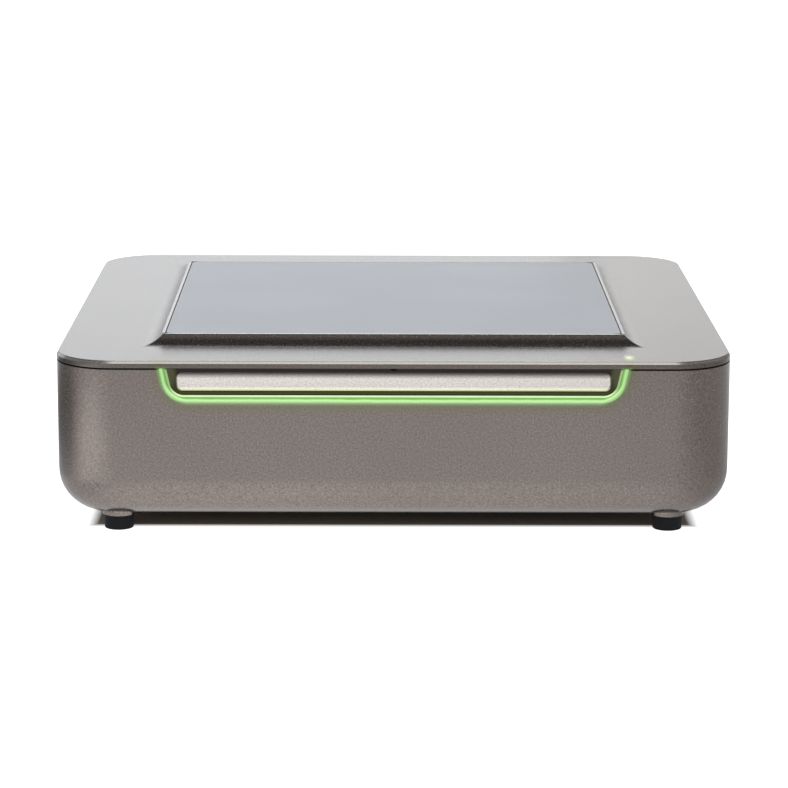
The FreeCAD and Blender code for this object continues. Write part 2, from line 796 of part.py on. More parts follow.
def make_bezel():
    """The tray behind the light guide: a thin bright rim in front, a back wall that guides the bar's pins,
    ears staked to the housing's posts, a shelf for the light barrier and lugs for the lamp board."""
    body = new_body("recess_bezel")
    top = f"({RIM} - bezel_drop)"
    pad(body, "tray", "XZ_Plane", BEZEL_FRONT, BEZEL_BACK, *recess_outline(BEZEL_INSET, top))
    pocket(body, "inside", "XZ_Plane", f"({FRONT} - {PAST})", BEZEL_WALL,
           *recess_outline(TRAY_INSET, f"({RIM} + {PAST})"))
    through_wall = past(BEZEL_WALL, BEZEL_BACK)
    round_pockets(body, "pin_holes", "XZ_Plane", *through_wall, PINS, "pin_radius + pin_clearance")
    flag_x = "(flag_half + flag_clearance)"
    flag_z = "(flag_rise + flag_clearance)"
    pocket(body, "flag_slot", "XZ_Plane", *through_wall,
           rectangle(about("0", flag_x), about(BAR_MID, flag_z)))

    for name, middle, half in (
        ("ear_left", "-ear_side", "ear_half"),
        ("shelf", "0", "shelf_half"),
        ("ear_right", "ear_side", "ear_half"),
    ):
        pad(body, name, "XY_Plane", BEZEL_FLOOR, SHELF_TOP,
            rectangle(about(middle, half), (f"{BEZEL_BACK} - {BITE}", f"{BEZEL_BACK} + shelf_deep")))
    square_pockets(body, "ear_holes", "XY_Plane", *past(BEZEL_FLOOR, SHELF_TOP), EARS,
                   "peg_half + peg_clearance")
    for name, middle in (("lug_left", "-lug_side"), ("lug_right", "lug_side")):
        pad(body, name, "XY_Plane", f"({BEZEL_FLOOR} - lug_drop)", f"({BEZEL_FLOOR} + {BITE})",
            rectangle(about(middle, "lug_half"), (LAMP_BOARD_BACK, f"{LAMP_BOARD_BACK} + lug_thick")))
    return keep(body, "recess_bezel")


def make_push_bar():
    body = new_body("push_bar")
    pad(body, "extrusion", "XZ_Plane", BAR_FRONT, BAR_BACK,
        rectangle((f"-{BAR_HALF}", BAR_HALF), (BAR_LOW, BAR_HIGH)))
    dressed(body, "Fillet", "ends", "bar_corner", lambda e: runs_along(e, "y"))
    dressed(body, "Chamfer", "front_edge", "bar_bevel", lambda e: lies_at(e, "y", BAR_FRONT))
    return keep(body, "push_bar")


def make_bar_carrier():
    plate = box("carrier_plate", (f"-{CARRIER_HALF}", CARRIER_HALF), (BAR_BACK, CARRIER_BACK),
                (f"{BAR_LOW} + carrier_step", f"{BAR_HIGH} - carrier_step"))
    rib_y = (CARRIER_BACK, f"{CARRIER_BACK} + rib_thick")
    rib_z = (f"{BAR_MID} - rib_drop", f"{BAR_MID} - rib_drop + rib_height")
    ribs = []
    for name, low, high in (
        ("left", f"rib_inset - {CARRIER_HALF}", "-(pin_spread + pin_room)"),
        ("middle", "-(pin_spread - pin_room)", "pin_spread - pin_room"),
        ("right", "pin_spread + pin_room", f"{CARRIER_HALF} - rib_inset"),
    ):
        ribs.append(box(f"carrier_rib_{name}", (low, high), rib_y, rib_z))
    flag = box("carrier_flag", about("0", "flag_half"),
               (f"{CARRIER_BACK} - {BITE}", f"{SENSOR_FRONT} - flag_lead"), about(BAR_MID, "flag_rise"))
    return keep(joined("bar_carrier_body", [plate, *ribs, flag]), "bar_carrier")


def make_guide_pins():
    """Pins fixed in the carrier; their heads stop the bar behind the tray's back wall."""
    pins = []
    for n, place in enumerate(PINS):
        shank = cylinder(f"pin_{n}", "y", "pin_radius", place, CARRIER_BACK, PIN_HEAD)
        head = hexagon(f"pin_head_{n}", "y", "pin_head_radius", place, PIN_HEAD,
                       f"{PIN_HEAD} + pin_head_thick")
        pins.append(joined(f"headed_pin_{n}", [shank, head]))
    return keep(group("guide_pins_group", pins), "guide_pins")


def make_springs():
    """Bowed leaf springs between the carrier and the tray's back wall."""
    leaves = []
    for n, middle in enumerate(("leaf_side", "-leaf_side")):
        body = new_body(f"leaf_{n}")
        near_foot, far_foot = f"{middle} - leaf_half", f"{middle} + leaf_half"
        pad(body, "strip", "XY_Plane", f"({BAR_MID} - leaf_rise)", f"({BAR_MID} + leaf_rise)", [
            (middle, CARRIER_BACK),
            (far_foot, f"({BEZEL_WALL} - leaf_thick)"),
            (far_foot, BEZEL_WALL),
            (middle, f"({CARRIER_BACK} + leaf_thick)"),
            (near_foot, BEZEL_WALL),
            (near_foot, f"({BEZEL_WALL} - leaf_thick)"),
        ])
        leaves.append(body)
    return keep(group("bar_springs_group", leaves), "bar_springs")


def make_bar_sensor():
    """A slotted light barrier on the tray's shelf; the carrier's flag enters it when the bar is pressed."""
    deep = (SENSOR_FRONT, f"{SENSOR_FRONT} + sensor_deep")
    top = f"({BAR_MID} + sensor_rise)"
    whole = box("sensor_block", about("0", "sensor_half"), deep, (SHELF_TOP, top))
    slot = box("sensor_slot", about("0", "sensor_slot"), past(*deep),
               (f"{BAR_MID} - sensor_sink", f"{top} + {PAST}"))
    return keep(less("bar_sensor_body", whole, [slot]), "bar_sensor")


def make_lamp_board():
    thick = (LAMP_BOARD, LAMP_BOARD_BACK)
    low = f"{RECESS_FLOOR} - lamp_board_drop"
    end = f"{STATUS_X} + lamp_tab_over"
    strip = box("lamp_strip", ("-(recess_width / 2 - lamp_board_inset)", end), thick,
                (low, f"{RECESS_FLOOR} + guide_clearance + guide_thick"))
    tab = box("lamp_tab", ("recess_width / 2 - lamp_tab_start", end), thick,
              (low, f"{RECESS_FLOOR} + lamp_tab_rise"))
    keep(joined("led_board_body", [strip, tab]), "led_board")

    first = "(lamp_inset - recess_width / 2)"
    pitch = f"((recess_width - 2 * lamp_inset) / {LAMPS - 1})"
    low = f"({RECESS_FLOOR} + lamp_low)"
    lamps = [
        box(f"lamp_{n}", about(f"{first} + {pitch} * {n}", "lamp_half"), (LAMP_FRONT, LAMP_BOARD),
            (low, f"{low} + lamp_high"))
        for n in range(LAMPS)
    ]
    return keep(group("strip_lamps_group", lamps), "strip_lamps")


def make_status_light():
    lamp = box("status_lamp_body", about(STATUS_X, "status_lamp_half"), (LAMP_FRONT, LAMP_BOARD),
               (f"{RECESS_FLOOR} + status_lamp_rise", STATUS_LAMP_TOP))
    keep(lamp, "status_lamp")
    pipe = cylinder("light_pipe", "z", "pipe_radius", (STATUS_X, STATUS_Y), f"{STATUS_LAMP_TOP} + pipe_gap",
                    f"{COVER_TOP} + pipe_proud")
    return keep(pipe, "status_lens")


# ---------------------------------------------------------------- feet and screws
def make_feet():
    for name, place in zip(("rear_right", "front_right", "rear_left", "front_left"), FEET):
        keep(cylinder(f"pad_{name}", "z", "foot_radius", place, "0", "foot_height"), f"foot_{name}")


def make_cover_screws():
    """Screws that come up through the columns into the cover's bosses."""
    screws = []
    seat = f"({BASE} + screw_seat)"
    for n, place in enumerate(COLUMNS):
        shank = cylinder(f"shank_{n}", "z", "screw_radius", place, seat, f"{COVER_UNDER} + screw_reach")
        head = hexagon(f"head_{n}", "z", "screw_head_radius", place, f"{seat} - screw_head", seat)
        screws.append(joined(f"cover_screw_{n}", [shank, head]))
    return keep(group("cover_screws_group", screws), "cover_screws")


# ---------------------------------------------------------------- main board
def on_board(name, x, y, height, lift="0"):
    """A block that stands on the main board, or lift above it."""
    low = f"({BOARD_TOP} + {lift})"
    return box(name, x, y, (low, f"{low} + {height}"))


def make_main_board():
    slab = box("board_slab", about("0", BOARD_X), (BOARD_FRONT, BOARD_BACK), (BOARD, BOARD_TOP))
    through = past(BOARD, BOARD_TOP)
    holes = []
    for n, place in enumerate(POSTS):
        x, y = (about(middle, "peg_half + peg_clearance") for middle in place)
        holes.append(box(f"board_hole_{n}", x, y, through))
    # the power switch reaches below the board's top, so the rear edge steps round it
    notch = box("board_notch", about(ROCKER_X, f"{CAVITY_X} + switch_wall + notch_margin"),
                past(f"{PANEL_FACE} - switch_deep", BOARD_BACK), through)
    return keep(less("main_board_body", slab, [*holes, notch]), "main_board")


def make_board_parts():
    shield_y = f"({BOARD_FRONT} + shield_front)"
    keep(on_board("shield_outside", about("-shield_shift", "shield_width / 2"),
                  (shield_y, f"{shield_y} + shield_depth"), "shield_height"), "shield_can")

    chip_x = ("chip_side", "chip_side + chip_size")
    chip_y = (f"{BOARD_FRONT} + chip_front", f"{BOARD_FRONT} + chip_front + chip_size")
    keep(on_board("processor_body", chip_x, chip_y, "chip_height"), "processor")
    fins = []
    for n in range(FINS):
        x = f"(chip_side + fin_pitch * {n})"
        fins.append(on_board(f"fin_{n}", (x, f"{x} + fin_thick"), chip_y, "fin_height",
                             lift="(chip_height + sink_base)"))
    plate = on_board("sink_plate", chip_x, chip_y, "sink_base", lift="chip_height")
    keep(joined("heat_sink_body", [plate, *fins]), "heat_sink")

    supply_end = f"(supply_inset + supply_width - {BOARD_X})"
    supply_rear = f"({BOARD_BACK} - supply_back)"
    keep(on_board("isolated_supply_body", (f"supply_inset - {BOARD_X}", supply_end),
                  (f"{supply_rear} - supply_depth", supply_rear), "supply_height"), "isolated_supply")
    row_x = f"({supply_end} + capacitor_gap)"
    row = []
    for n in range(CAPACITORS):
        y = f"({supply_rear} - supply_depth + capacitor_pitch * {n})"
        row.append(on_board(f"capacitor_{n}", (row_x, f"{row_x} + capacitor_width"),
                            (y, f"{y} + capacitor_depth"), "capacitor_height"))
    keep(group("capacitors_group", row), "capacitors")

    relays = [on_board(f"relay_{n}", about(jack_x(n), "relay_width / 2"),
                       (f"{RELAY_BACK} - relay_depth", RELAY_BACK), "relay_height") for n in range(JACKS)]
    keep(group("relays_group", relays), "relays")
    back = f"({RELAY_BACK} - relay_depth - converter_gap)"
    converters = []
    for n in range(CONVERTERS):
        x = f"(converter_pitch * {n} - converter_shift)"
        converters.append(on_board(f"converter_{n}", (x, f"{x} + converter_size"),
                                   (f"{back} - converter_size", back), "converter_height"))
    return keep(group("converters_group", converters), "converters")


def make_ribbon():
    """The flat cable from the lamp board down to its plug on the main board."""
    body = new_body("ribbon_cable")
    start, high = LAMP_BOARD_BACK, f"({RECESS_FLOOR} - ribbon_drop)"
    plug_top = f"({BOARD_TOP} + header_height)"
    bend = f"({plug_top} + ribbon_rise)"
    pad(body, "strip", "YZ_Plane", *about("-ribbon_side", "ribbon_half"), [
        (start, high),
        (f"{start} + ribbon_run", high),
        (HEADER_Y, bend),
        (HEADER_Y, plug_top),
        (f"{HEADER_Y} + ribbon_thick", plug_top),
        (f"{HEADER_Y} + ribbon_thick", f"{bend} + ribbon_thick"),
        (f"{start} + ribbon_run", f"{high} + ribbon_thick"),
        (start, f"{high} + ribbon_thick"),
    ])
    keep(body, "ribbon_cable")
    plug = on_board("ribbon_header_body", about("-ribbon_side", "header_half"),
                    about(HEADER_Y, "header_deep"), "header_height")
    return keep(plug, "ribbon_header")


# ---------------------------------------------------------------- rear connectors
def jack_x(n):
    return f"({REAR_HALF} - jack_margin - {JACK_PITCH} * {n})"


def make_rear_panel():
    body = new_body("rear_panel")
    pad(body, "plate", "XZ_Plane", PANEL_BACK, PANEL_FACE,
        rectangle(about("0", REAR_HALF), about(REAR_MID, "rear_height / 2")))
    dressed(body, "Fillet", "corners", "rear_corner", lambda e: runs_along(e, "y"))
    span = past(PANEL_BACK, PANEL_FACE)
    round_pockets(body, "jack_holes", "XZ_Plane", *span, [(jack_x(n), JACK_Z) for n in range(JACKS)],
                  "jack_nose + socket_gap")
    round_pockets(body, "inlet_hole", "XZ_Plane", *span, [(INLET_X, PORT_Z)], "inlet_nose + socket_gap")
    for name, x, z, half_x, half_z in (
        ("usb_hole", USB_X, PORT_Z, "usb_half_width", "usb_half_height"),
        ("rocker_hole", ROCKER_X, REAR_MID, f"{CAVITY_X} + switch_wall", f"{CAVITY_Z} + switch_wall"),
    ):
        pocket(body, name, "XZ_Plane", *span,
               rectangle(about(x, f"{half_x} + socket_gap"), about(z, f"{half_z} + socket_gap")))
    return keep(body, "rear_panel")


def make_jacks():
    """Sockets for 6.35 mm phone plugs, standing on the main board with their noses in the rear panel."""
    mouth = f"({PANEL_FACE} + jack_proud)"
    for n in range(JACKS):
        x = jack_x(n)
        shell = box(f"jack_shell_{n}", about(x, JACK_HALF),
                    (f"{SOCKET_BACK} - socket_gap", f"{PANEL_BACK} - socket_gap"),
                    (BOARD_TOP, f"{BOARD_TOP} + jack_height"))
        nose = cylinder(f"jack_nose_{n}", "y", "jack_nose", (x, JACK_Z), f"{PANEL_BACK} - {PAST}", mouth)
        bore = cylinder(f"jack_bore_{n}", "y", "jack_bore", (x, JACK_Z), f"{mouth} - jack_bore_deep",
                        f"{mouth} + {PAST}")
        made = less(f"jack_{n}", joined(f"jack_blank_{n}", [shell, nose]), [bore])
        keep(made, f"audio_socket_{n + 1}")


def make_usb_socket():
    back = f"({PANEL_FACE} - usb_deep)"

    def block(name, half_x, half_z, low, high):
        return box(name, about(USB_X, half_x), (low, high), about(PORT_Z, half_z))

    shell = block("usb_shell", "usb_half_width", "usb_half_height", back, f"{PANEL_FACE} + usb_proud")
    mouth = block("usb_mouth", "usb_mouth_width", "usb_mouth_height", f"{back} + usb_back",
                  f"{PANEL_FACE} + {PAST}")
    tongue = block("usb_tongue", "tongue_half_width", "tongue_half_height", f"{back} + usb_back - {BITE}",
                   f"{PANEL_FACE} - tongue_inset")
    stand = box("usb_stand", about(USB_X, "usb_half_width"), (back, f"{PANEL_BACK} - socket_gap"),
                (BOARD_TOP, f"{PORT_Z} - usb_mouth_height - {BITE}"))
    return keep(joined("usb_socket_body", [less("usb_hollow", shell, [mouth]), tongue, stand]), "usb_socket")


def make_inlet():
    back = f"({PANEL_FACE} - inlet_deep)"
    middle = (INLET_X, PORT_Z)
    shell = box("inlet_shell", about(INLET_X, "inlet_half"), (back, f"{PANEL_BACK} - socket_gap"),
                (BOARD_TOP, f"{PORT_Z} + inlet_half"))
    nose = cylinder("inlet_nose", "y", "inlet_nose", middle, f"{PANEL_BACK} - {PAST}",
                    f"{PANEL_FACE} + usb_proud")
    hole = cylinder("inlet_hole", "y", "inlet_bore", middle, f"{back} + inlet_back", f"{PANEL_FACE} + {PAST}")
    pin = cylinder("inlet_pin", "y", "inlet_pin", middle, f"{back} + inlet_back - {BITE}",
                   f"{PANEL_FACE} - tongue_inset")
    hollow = less("inlet_hollow", joined("inlet_blank", [shell, nose]), [hole])
    return keep(joined("power_inlet_body", [hollow, pin]), "power_inlet")


def make_switch():
    """The power switch's frame in the rear panel, the pin across it and the blades behind it."""
    def block(name, grow, low, high):
        return box(name, about(ROCKER_X, f"{CAVITY_X} + {grow}"), (low, high),
                   about(REAR_MID, f"{CAVITY_Z} + {grow}"))

    outside = f"({PANEL_FACE} + switch_flange_thick)"
    flange = block("switch_flange", "(switch_wall + switch_flange)", PANEL_FACE, outside)
    barrel = block("switch_barrel", "switch_wall", f"{PANEL_FACE} - switch_deep", f"{PANEL_FACE} + {BITE}")
    cavity = block("switch_cavity", "0", f"{PANEL_FACE} - switch_cavity", f"{outside} + {PAST}")
    span = about(ROCKER_X, f"{CAVITY_X} + switch_wall")
    bearing = cylinder("switch_bearing", "x", "rocker_pin", (ROCKER_Y, REAR_MID), *span)
    blank = joined("switch_blank", [flange, barrel])
    keep(less("switch_frame_body", blank, [cavity, bearing]), "switch_frame")
    keep(cylinder("rocker_axle", "x", "rocker_pin", (ROCKER_Y, REAR_MID), *span), "switch_pin")
    back = f"({PANEL_FACE} - switch_deep)"
    blades = [box(f"blade_{n}", about(ROCKER_X, "blade_half"), (f"{back} - blade_length", back),
                  about(f"{REAR_MID} {sign} blade_shift", "blade_thick / 2")) for n, sign in enumerate("-+")]
    return keep(group("switch_blades_group", blades), "switch_blades")


def make_rocker():
    """The rocker, drawn about its pin with Y to the back and Z up, then tilted to the pressed side."""
    body = new_body("power_rocker")
    crest = "(rocker_face + rocker_half * tan(rocker_tilt * 1 deg))"
    ends = about("0", "rocker_width / 2")
    pad(body, "rocker", "YZ_Plane", *ends, [
        (crest, "-rocker_half"),
        ("rocker_face", "0"),
        (crest, "rocker_half"),
        ("rocker_root", "rocker_half"),
        ("-rocker_heel", "rocker_heel_half"),
        ("-rocker_heel", "-rocker_heel_half"),
        ("rocker_root", "-rocker_half"),
    ])
    round_pockets(body, "rocker_hole", "YZ_Plane", *past(*ends), [("0", "0")], "rocker_pin + pin_clearance")
    tilt = FreeCAD.Rotation(FreeCAD.Vector(1, 0, 0), number("rocker_tilt"))
    body.Placement = FreeCAD.Placement(FreeCAD.Vector(), tilt)
    for axis, place in (("x", ROCKER_X), ("y", ROCKER_Y), ("z", REAR_MID)):
        body.setExpression(f".Placement.Base.{axis}", bound(place))
    return keep(body, "power_rocker")


# ---------------------------------------------------------------- build, check and write
make_housing()
make_cover()
make_top_panel()
make_light_guide()
make_bezel()
make_push_bar()
make_bar_carrier()
make_guide_pins()
make_springs()
make_bar_sensor()
make_lamp_board()
make_status_light()
make_feet()
make_cover_screws()
make_main_board()
make_board_parts()
make_ribbon()
make_rear_panel()
make_jacks()
make_usb_socket()
make_inlet()
make_switch()
make_rocker()
doc.recompute()

failed = [o.Name for o in doc.Objects if "Invalid" in o.State or "Error" in o.State]
if failed:
    raise RuntimeError(f"these did not recompute: {failed}")
os.makedirs("parts", exist_ok=True)
for made in KEPT:
    if made.Shape.isNull() or not made.Shape.isValid():
        raise RuntimeError(f"{made.Label} has no valid shape")
    made.Shape.exportStep(f"parts/{made.Label}.step")
    print(f"{made.Label}: {len(made.Shape.Solids)} solids, {made.Shape.Volume:.0f} mm3")
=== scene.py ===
"""The looks of a table-top audiometer: a painted shell with a raised panel, a lit front recess round a push
bar, rubber feet and a rear panel of sockets."""

import json
import math

import bmesh
import bpy
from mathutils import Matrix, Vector


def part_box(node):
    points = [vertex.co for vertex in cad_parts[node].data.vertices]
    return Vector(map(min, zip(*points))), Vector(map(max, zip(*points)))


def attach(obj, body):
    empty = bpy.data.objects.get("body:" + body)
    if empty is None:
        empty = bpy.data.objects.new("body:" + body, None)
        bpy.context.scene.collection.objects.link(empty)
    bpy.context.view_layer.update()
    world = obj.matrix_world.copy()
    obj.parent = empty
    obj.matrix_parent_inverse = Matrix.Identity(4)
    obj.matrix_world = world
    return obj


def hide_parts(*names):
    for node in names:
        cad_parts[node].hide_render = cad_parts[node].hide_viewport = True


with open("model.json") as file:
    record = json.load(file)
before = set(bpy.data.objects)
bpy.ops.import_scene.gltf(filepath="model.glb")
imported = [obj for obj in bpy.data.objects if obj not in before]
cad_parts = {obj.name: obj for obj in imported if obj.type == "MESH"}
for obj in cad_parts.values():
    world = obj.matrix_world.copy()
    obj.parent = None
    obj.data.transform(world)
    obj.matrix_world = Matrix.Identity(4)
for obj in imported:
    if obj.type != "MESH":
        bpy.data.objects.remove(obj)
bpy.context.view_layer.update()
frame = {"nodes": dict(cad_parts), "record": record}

bl_info = {
    "name": "Table-top audiometer",
    "version": (1, 0, 0),
    "blender": (4, 5, 0),
    "location": "View3D > Sidebar > Audiometer",
    "description": "Models and finishes a table-top audiometer around its construction model",
    "category": "Object",
}

MM = 0.001
NEAR = 0.02 * MM      # how close a corner lies to a plane to count as on it
PAST = 1.0 * MM       # how far a cutter goes past the surface that it opens
CURVE_STEPS = 16      # faces round a quarter turn of the shell's corners
FLARE_STEPS = 10      # faces up the platform's hollow skirt
SOCKETS = 6
FOUR_SCREWS = [(x * MM, y * MM) for x in (-122.0, 122.0) for y in (-86.0, 86.0)]
STANDING_PORTS = {"usb_socket": 5.5 * MM, "power_inlet": 5.0 * MM}   # half the height of each one's mouth
FINISHES = {}
BLACK = (0.0, 0.0, 0.0)
WHITE = (1.0, 1.0, 1.0)
# painted highlight on the platform's flat rim
RIM_HIGHLIGHT = (0.78, 0.74, 0.68)
# painted shade in the parting line and on the cover's edge
PAINTED_SHADE = (0.012, 0.011, 0.008)


def srgb(red, green, blue):
    """A colour given as 0 to 255, as the linear values that a shader takes."""
    return tuple(v / 3294.6 if v <= 10 else ((v / 255 + 0.055) / 1.055) ** 2.4 for v in (red, green, blue))


def shaded(tint, factor):
    """A colour made darker or lighter."""
    return tuple(min(1.0, v * factor) for v in tint)


def size(name, description, millimetres):
    return bpy.props.FloatProperty(name=name, description=description, default=millimetres * MM,
                                   unit="LENGTH", subtype="DISTANCE")


def colour(name, description, *levels):
    return bpy.props.FloatVectorProperty(name=name, description=description, default=srgb(*levels),
                                         subtype="COLOR", size=3, min=0.0, max=1.0)


class AudiometerSizes(bpy.types.PropertyGroup):
    """The lengths that the modelled pieces share"""

    body_width: size("Body width", "Across the housing", 285.0)
    body_depth: size("Body depth", "From the front to the back of the housing", 270.0)
    corner_radius: size("Corner radius", "Of the four upright corners", 25.6)
    base_height: size("Base height", "Underside of the housing above the table", 7.1)
    base_rounding: size("Base rounding", "Between the sides and the underside", 18.0)
    rim_height: size("Rim height", "Upper edge of the housing", 72.1)
    wall: size("Wall", "Thickness of the housing", 3.0)
    edge_softness: size("Edge softness", "Rounding of the cut edges", 0.25)
    cover_under: size("Cover underside", "Height of the cover's underside", 72.5)
    cover_top: size("Cover top", "Height of the cover's flat top", 75.7)
    edge_fall: size("Edge fall", "Height of the slope round the cover's top", 1.2)
    edge_reach: size("Edge reach", "Width of the slope round the cover's top", 0.75)
    platform_top: size("Platform top", "Height of the raised platform", 79.3)
    platform_lip: size("Platform lip", "Upright part of the platform's edge", 0.5)
    platform_rim: size("Platform rim", "Flat rim round the panel's seat", 1.2)
    flare_reach: size("Flare reach", "How far the platform's hollow skirt runs out", 8.2)
    front_reach: size("Front flare reach", "How far the skirt runs out at the front", 12.0)
    lip_corner: size("Lip corner", "Radius of the platform's corners", 2.4)
    hip_softness: size("Hip softness", "Rounding where two skirts meet", 0.6)
    panel_width: size("Panel width", "Across the top panel", 195.4)
    panel_depth: size("Panel depth", "From the front to the back of the top panel", 183.6)
    panel_radius: size("Panel corner", "Radius of the top panel's corners", 3.0)
    panel_gap: size("Panel gap", "Groove round the top panel", 0.35)
    panel_thick: size("Panel thickness", "Thickness of the top panel", 1.5)
    recess_width: size("Recess width", "Across the front recess at the rim", 195.6)
    recess_floor: size("Recess floor", "Height of the recess floor", 58.0)
    recess_radius: size("Recess corner", "Radius of the recess's lower corners", 9.0)
    guide_clearance: size("Light guide clearance", "Between the recess and the light guide", 0.15)
    guide_thick: size("Light guide thickness", "Width of the lit band", 2.15)
    rim_thick: size("Recess rim", "Width of the pale rim inside the lit band", 0.8)
    bar_corner: size("Bar corner", "Radius of the push bar's corners", 2.6)
    bar_rounding: size("Bar rounding", "Round the push bar's face", 0.8)
    foot_wall: size("Foot wall", "Ring round the hollow under a foot", 2.2)
    foot_hollow: size("Foot hollow", "Depth of the hollow under a foot", 0.9)
    boss_radius: size("Foot boss", "Radius of the housing's boss over a foot", 6.9)
    head_hole: size("Screw hole", "Radius of the hole over a cover screw's head", 3.2)
    head_radius: size("Cover screw head", "Radius of a cover screw's head", 2.9)
    head_height: size("Cover screw head height", "Height of a cover screw's head", 2.4)
    seat_gap: size("Rear seat gap", "Between the rear plate and the housing", 0.3)
    seat_frame: size("Rear frame", "Width of the frame behind the rear plate", 3.0)
    plate_gap: size("Plate gap", "Between the rear plate and what passes through it", 0.2)
    socket_nose: size("Socket nose", "Outer radius of an audio socket's mouth", 5.6)
    socket_bore: size("Socket bore", "Radius of an audio socket's hole", 3.25)
    socket_depth: size("Socket depth", "Depth of an audio socket's hole", 28.0)
    inlet_nose: size("Inlet nose", "Outer radius of the power inlet's mouth", 4.7)
    inlet_bore: size("Inlet bore", "Radius of the power inlet's hole", 3.1)
    flange: size("Switch flange", "Width of the power switch's flange", 1.5)
    rocker_half: size("Rocker half length", "From the rocker's pin to its end", 6.7)
    rocker_face: size("Rocker face", "From the pin to the middle of the rocker's face", 3.2)
    rocker_tilt: bpy.props.FloatProperty(
        name="Rocker tilt", description="Slope of each half of the rocker", default=math.radians(10.0),
        unit="ROTATION", subtype="ANGLE")
    recess_slant: bpy.props.FloatProperty(
        name="Recess slant", description="Lean of the recess's ends", default=math.radians(12.3),
        unit="ROTATION", subtype="ANGLE")


class AudiometerColours(bpy.types.PropertyGroup):
    """The colours of the visible finishes"""

    paint: colour("Paint", "Warm grey metallic paint", 120, 112, 108)
    paint_fleck: colour("Paint fleck", "Lighter flakes in the paint", 144, 135, 130)
    panel: colour("Panel", "Satin blue-grey sheet", 166, 174, 186)
    bar: colour("Push bar", "Satin metal", 246, 241, 236)
    glow: colour("Light guide", "Green light", 140, 228, 105)
    # painted highlight on the moulding's edge inside the lit band
    recess_rim_highlight: colour("Light guide lip", "Pale light at the inner edge", 220, 246, 188)
    # painted light: the lit band's glow put into the colour of the paint beside it
    painted_band_light: colour("Lit paint", "Paint beside the lit band", 112, 116, 78)
    # painted highlight on the housing's cut edge along the lit band
    painted_edge_highlight: colour("Lit edge", "Cut edge of the paint along the lit band", 140, 146, 128)
    # painted light: the status light's glow on the cover round it
    painted_lamp_glow: colour("Status glow", "Paint beside the status light", 146, 163, 95)
    # painted highlight on the slope round the cover's top
    slope: colour("Cover slope", "Paint on the slope round the cover's top", 133, 132, 127)
    rubber: colour("Foot rubber", "Dark rubber", 22, 25, 29)
    recess: colour("Recess", "Dark moulding", 26, 25, 22)
    floor: colour("Floor", "Pale floor", 235, 235, 235)


def sizes():
    return bpy.context.scene.audiometer_sizes


def colours():
    return bpy.context.scene.audiometer_colours


# ---------------------------------------------------------------- finishes
class Value:
    """A number that a node gives, so that a pattern is written as a sum."""

    def __init__(self, finish, socket):
        self.finish = finish
        self.socket = socket

    def math(self, operation, first, second):
        return self.finish.node("ShaderNodeMath", {"operation": operation}, {0: first, 1: second})

    def __add__(self, other):
        return self.math("ADD", self, other)

    def __sub__(self, other):
        return self.math("SUBTRACT", self, other)

    def __rsub__(self, other):
        return self.math("SUBTRACT", other, self)

    def __mul__(self, other):
        return self.math("MULTIPLY", self, other)

    def at_least(self, level):
        return self.math("MAXIMUM", self, level)

    def at_most(self, level):
        return self.math("MINIMUM", self, level)

    __radd__ = __add__
    __rmul__ = __mul__


class Nodes:
    """The nodes of a material or of the world, made one at a time."""

    def __init__(self, tree):
        self.tree = tree

    def node(self, kind, settings=None, sockets=None, output=0):
        """A node with its settings made first, then its sockets filled with values or links."""
        made = self.tree.nodes.new(kind)
        for setting, value in (settings or {}).items():
            if setting == "stops":
                self.stops(made.color_ramp.elements, value)
            else:
                setattr(made, setting, value)
        for place, value in (sockets or {}).items():
            if isinstance(value, Value):
                self.tree.links.new(value.socket, made.inputs[place])
            else:
                made.inputs[place].default_value = value
        return Value(self, made.outputs[output])

    def stops(self, elements, stops):
        elements[0].position, elements[0].color = stops[0][0], (*stops[0][1], 1.0)
        elements[1].position, elements[1].color = stops[-1][0], (*stops[-1][1], 1.0)
        for position, shade in stops[1:-1]:
            elements.new(position).color = (*shade, 1.0)

    def axis(self, letter, kind="Object"):
        """One coordinate of a point or, for the world, of a direction."""
        here = self.node("ShaderNodeTexCoord", output=kind)
        return self.node("ShaderNodeSeparateXYZ", sockets={"Vector": here}, output=letter)

    def away(self, centre):
        """How far a point is from a centre."""
        here = self.node("ShaderNodeTexCoord", output="Object")
        return self.node("ShaderNodeVectorMath", {"operation": "DISTANCE"}, {0: here, 1: centre},
                         output="Value")

    def unsigned(self, value):
        """A number without its sign."""
        return self.node("ShaderNodeMath", {"operation": "ABSOLUTE"}, {0: value})

    def root(self, value):
        return self.node("ShaderNodeMath", {"operation": "SQRT"}, {0: value})

    def seen_by(self, *rays):
        """1 for light that travels as one of these kinds of ray."""
        kinds = [self.node("ShaderNodeLightPath", output=f"Is {ray} Ray") for ray in rays]
        return sum(kinds[1:], kinds[0]).at_most(1.0)

    def noise(self, grain, detail=2.0, stretch=(1.0, 1.0, 1.0)):
        """A soft random pattern from 0 to 1 whose spots are about grain across."""
        here = self.node("ShaderNodeTexCoord", output="Object")
        place = self.node("ShaderNodeMapping", sockets={"Vector": here, "Scale": stretch})
        return self.node("ShaderNodeTexNoise", sockets={
            "Vector": place, "Scale": 1.0 / grain, "Detail": detail, "Roughness": 0.5})

    def mixed(self, factor, first, second):
        ends = {0: factor, 6: (*first, 1.0) if isinstance(first, tuple) else first,
                7: (*second, 1.0) if isinstance(second, tuple) else second}
        return self.node("ShaderNodeMix", {"data_type": "RGBA"}, ends, output=2)

    def spread(self, value, low, high, start=0.0, end=1.0):
        """The value taken from low..high to start..end, and held there."""
        return self.node("ShaderNodeMapRange", {"clamp": True}, {
            "Value": value, "From Min": low, "From Max": high, "To Min": start, "To Max": end})

    def graded(self, value, low, high, *stops):
        """Colours laid from low to high, each stop a value and a colour."""
        places = [((at - low) / (high - low), shade) for at, shade in stops]
        return self.node("ShaderNodeValToRGB", {"stops": places}, {"Fac": self.spread(value, low, high)},
                         output="Color")


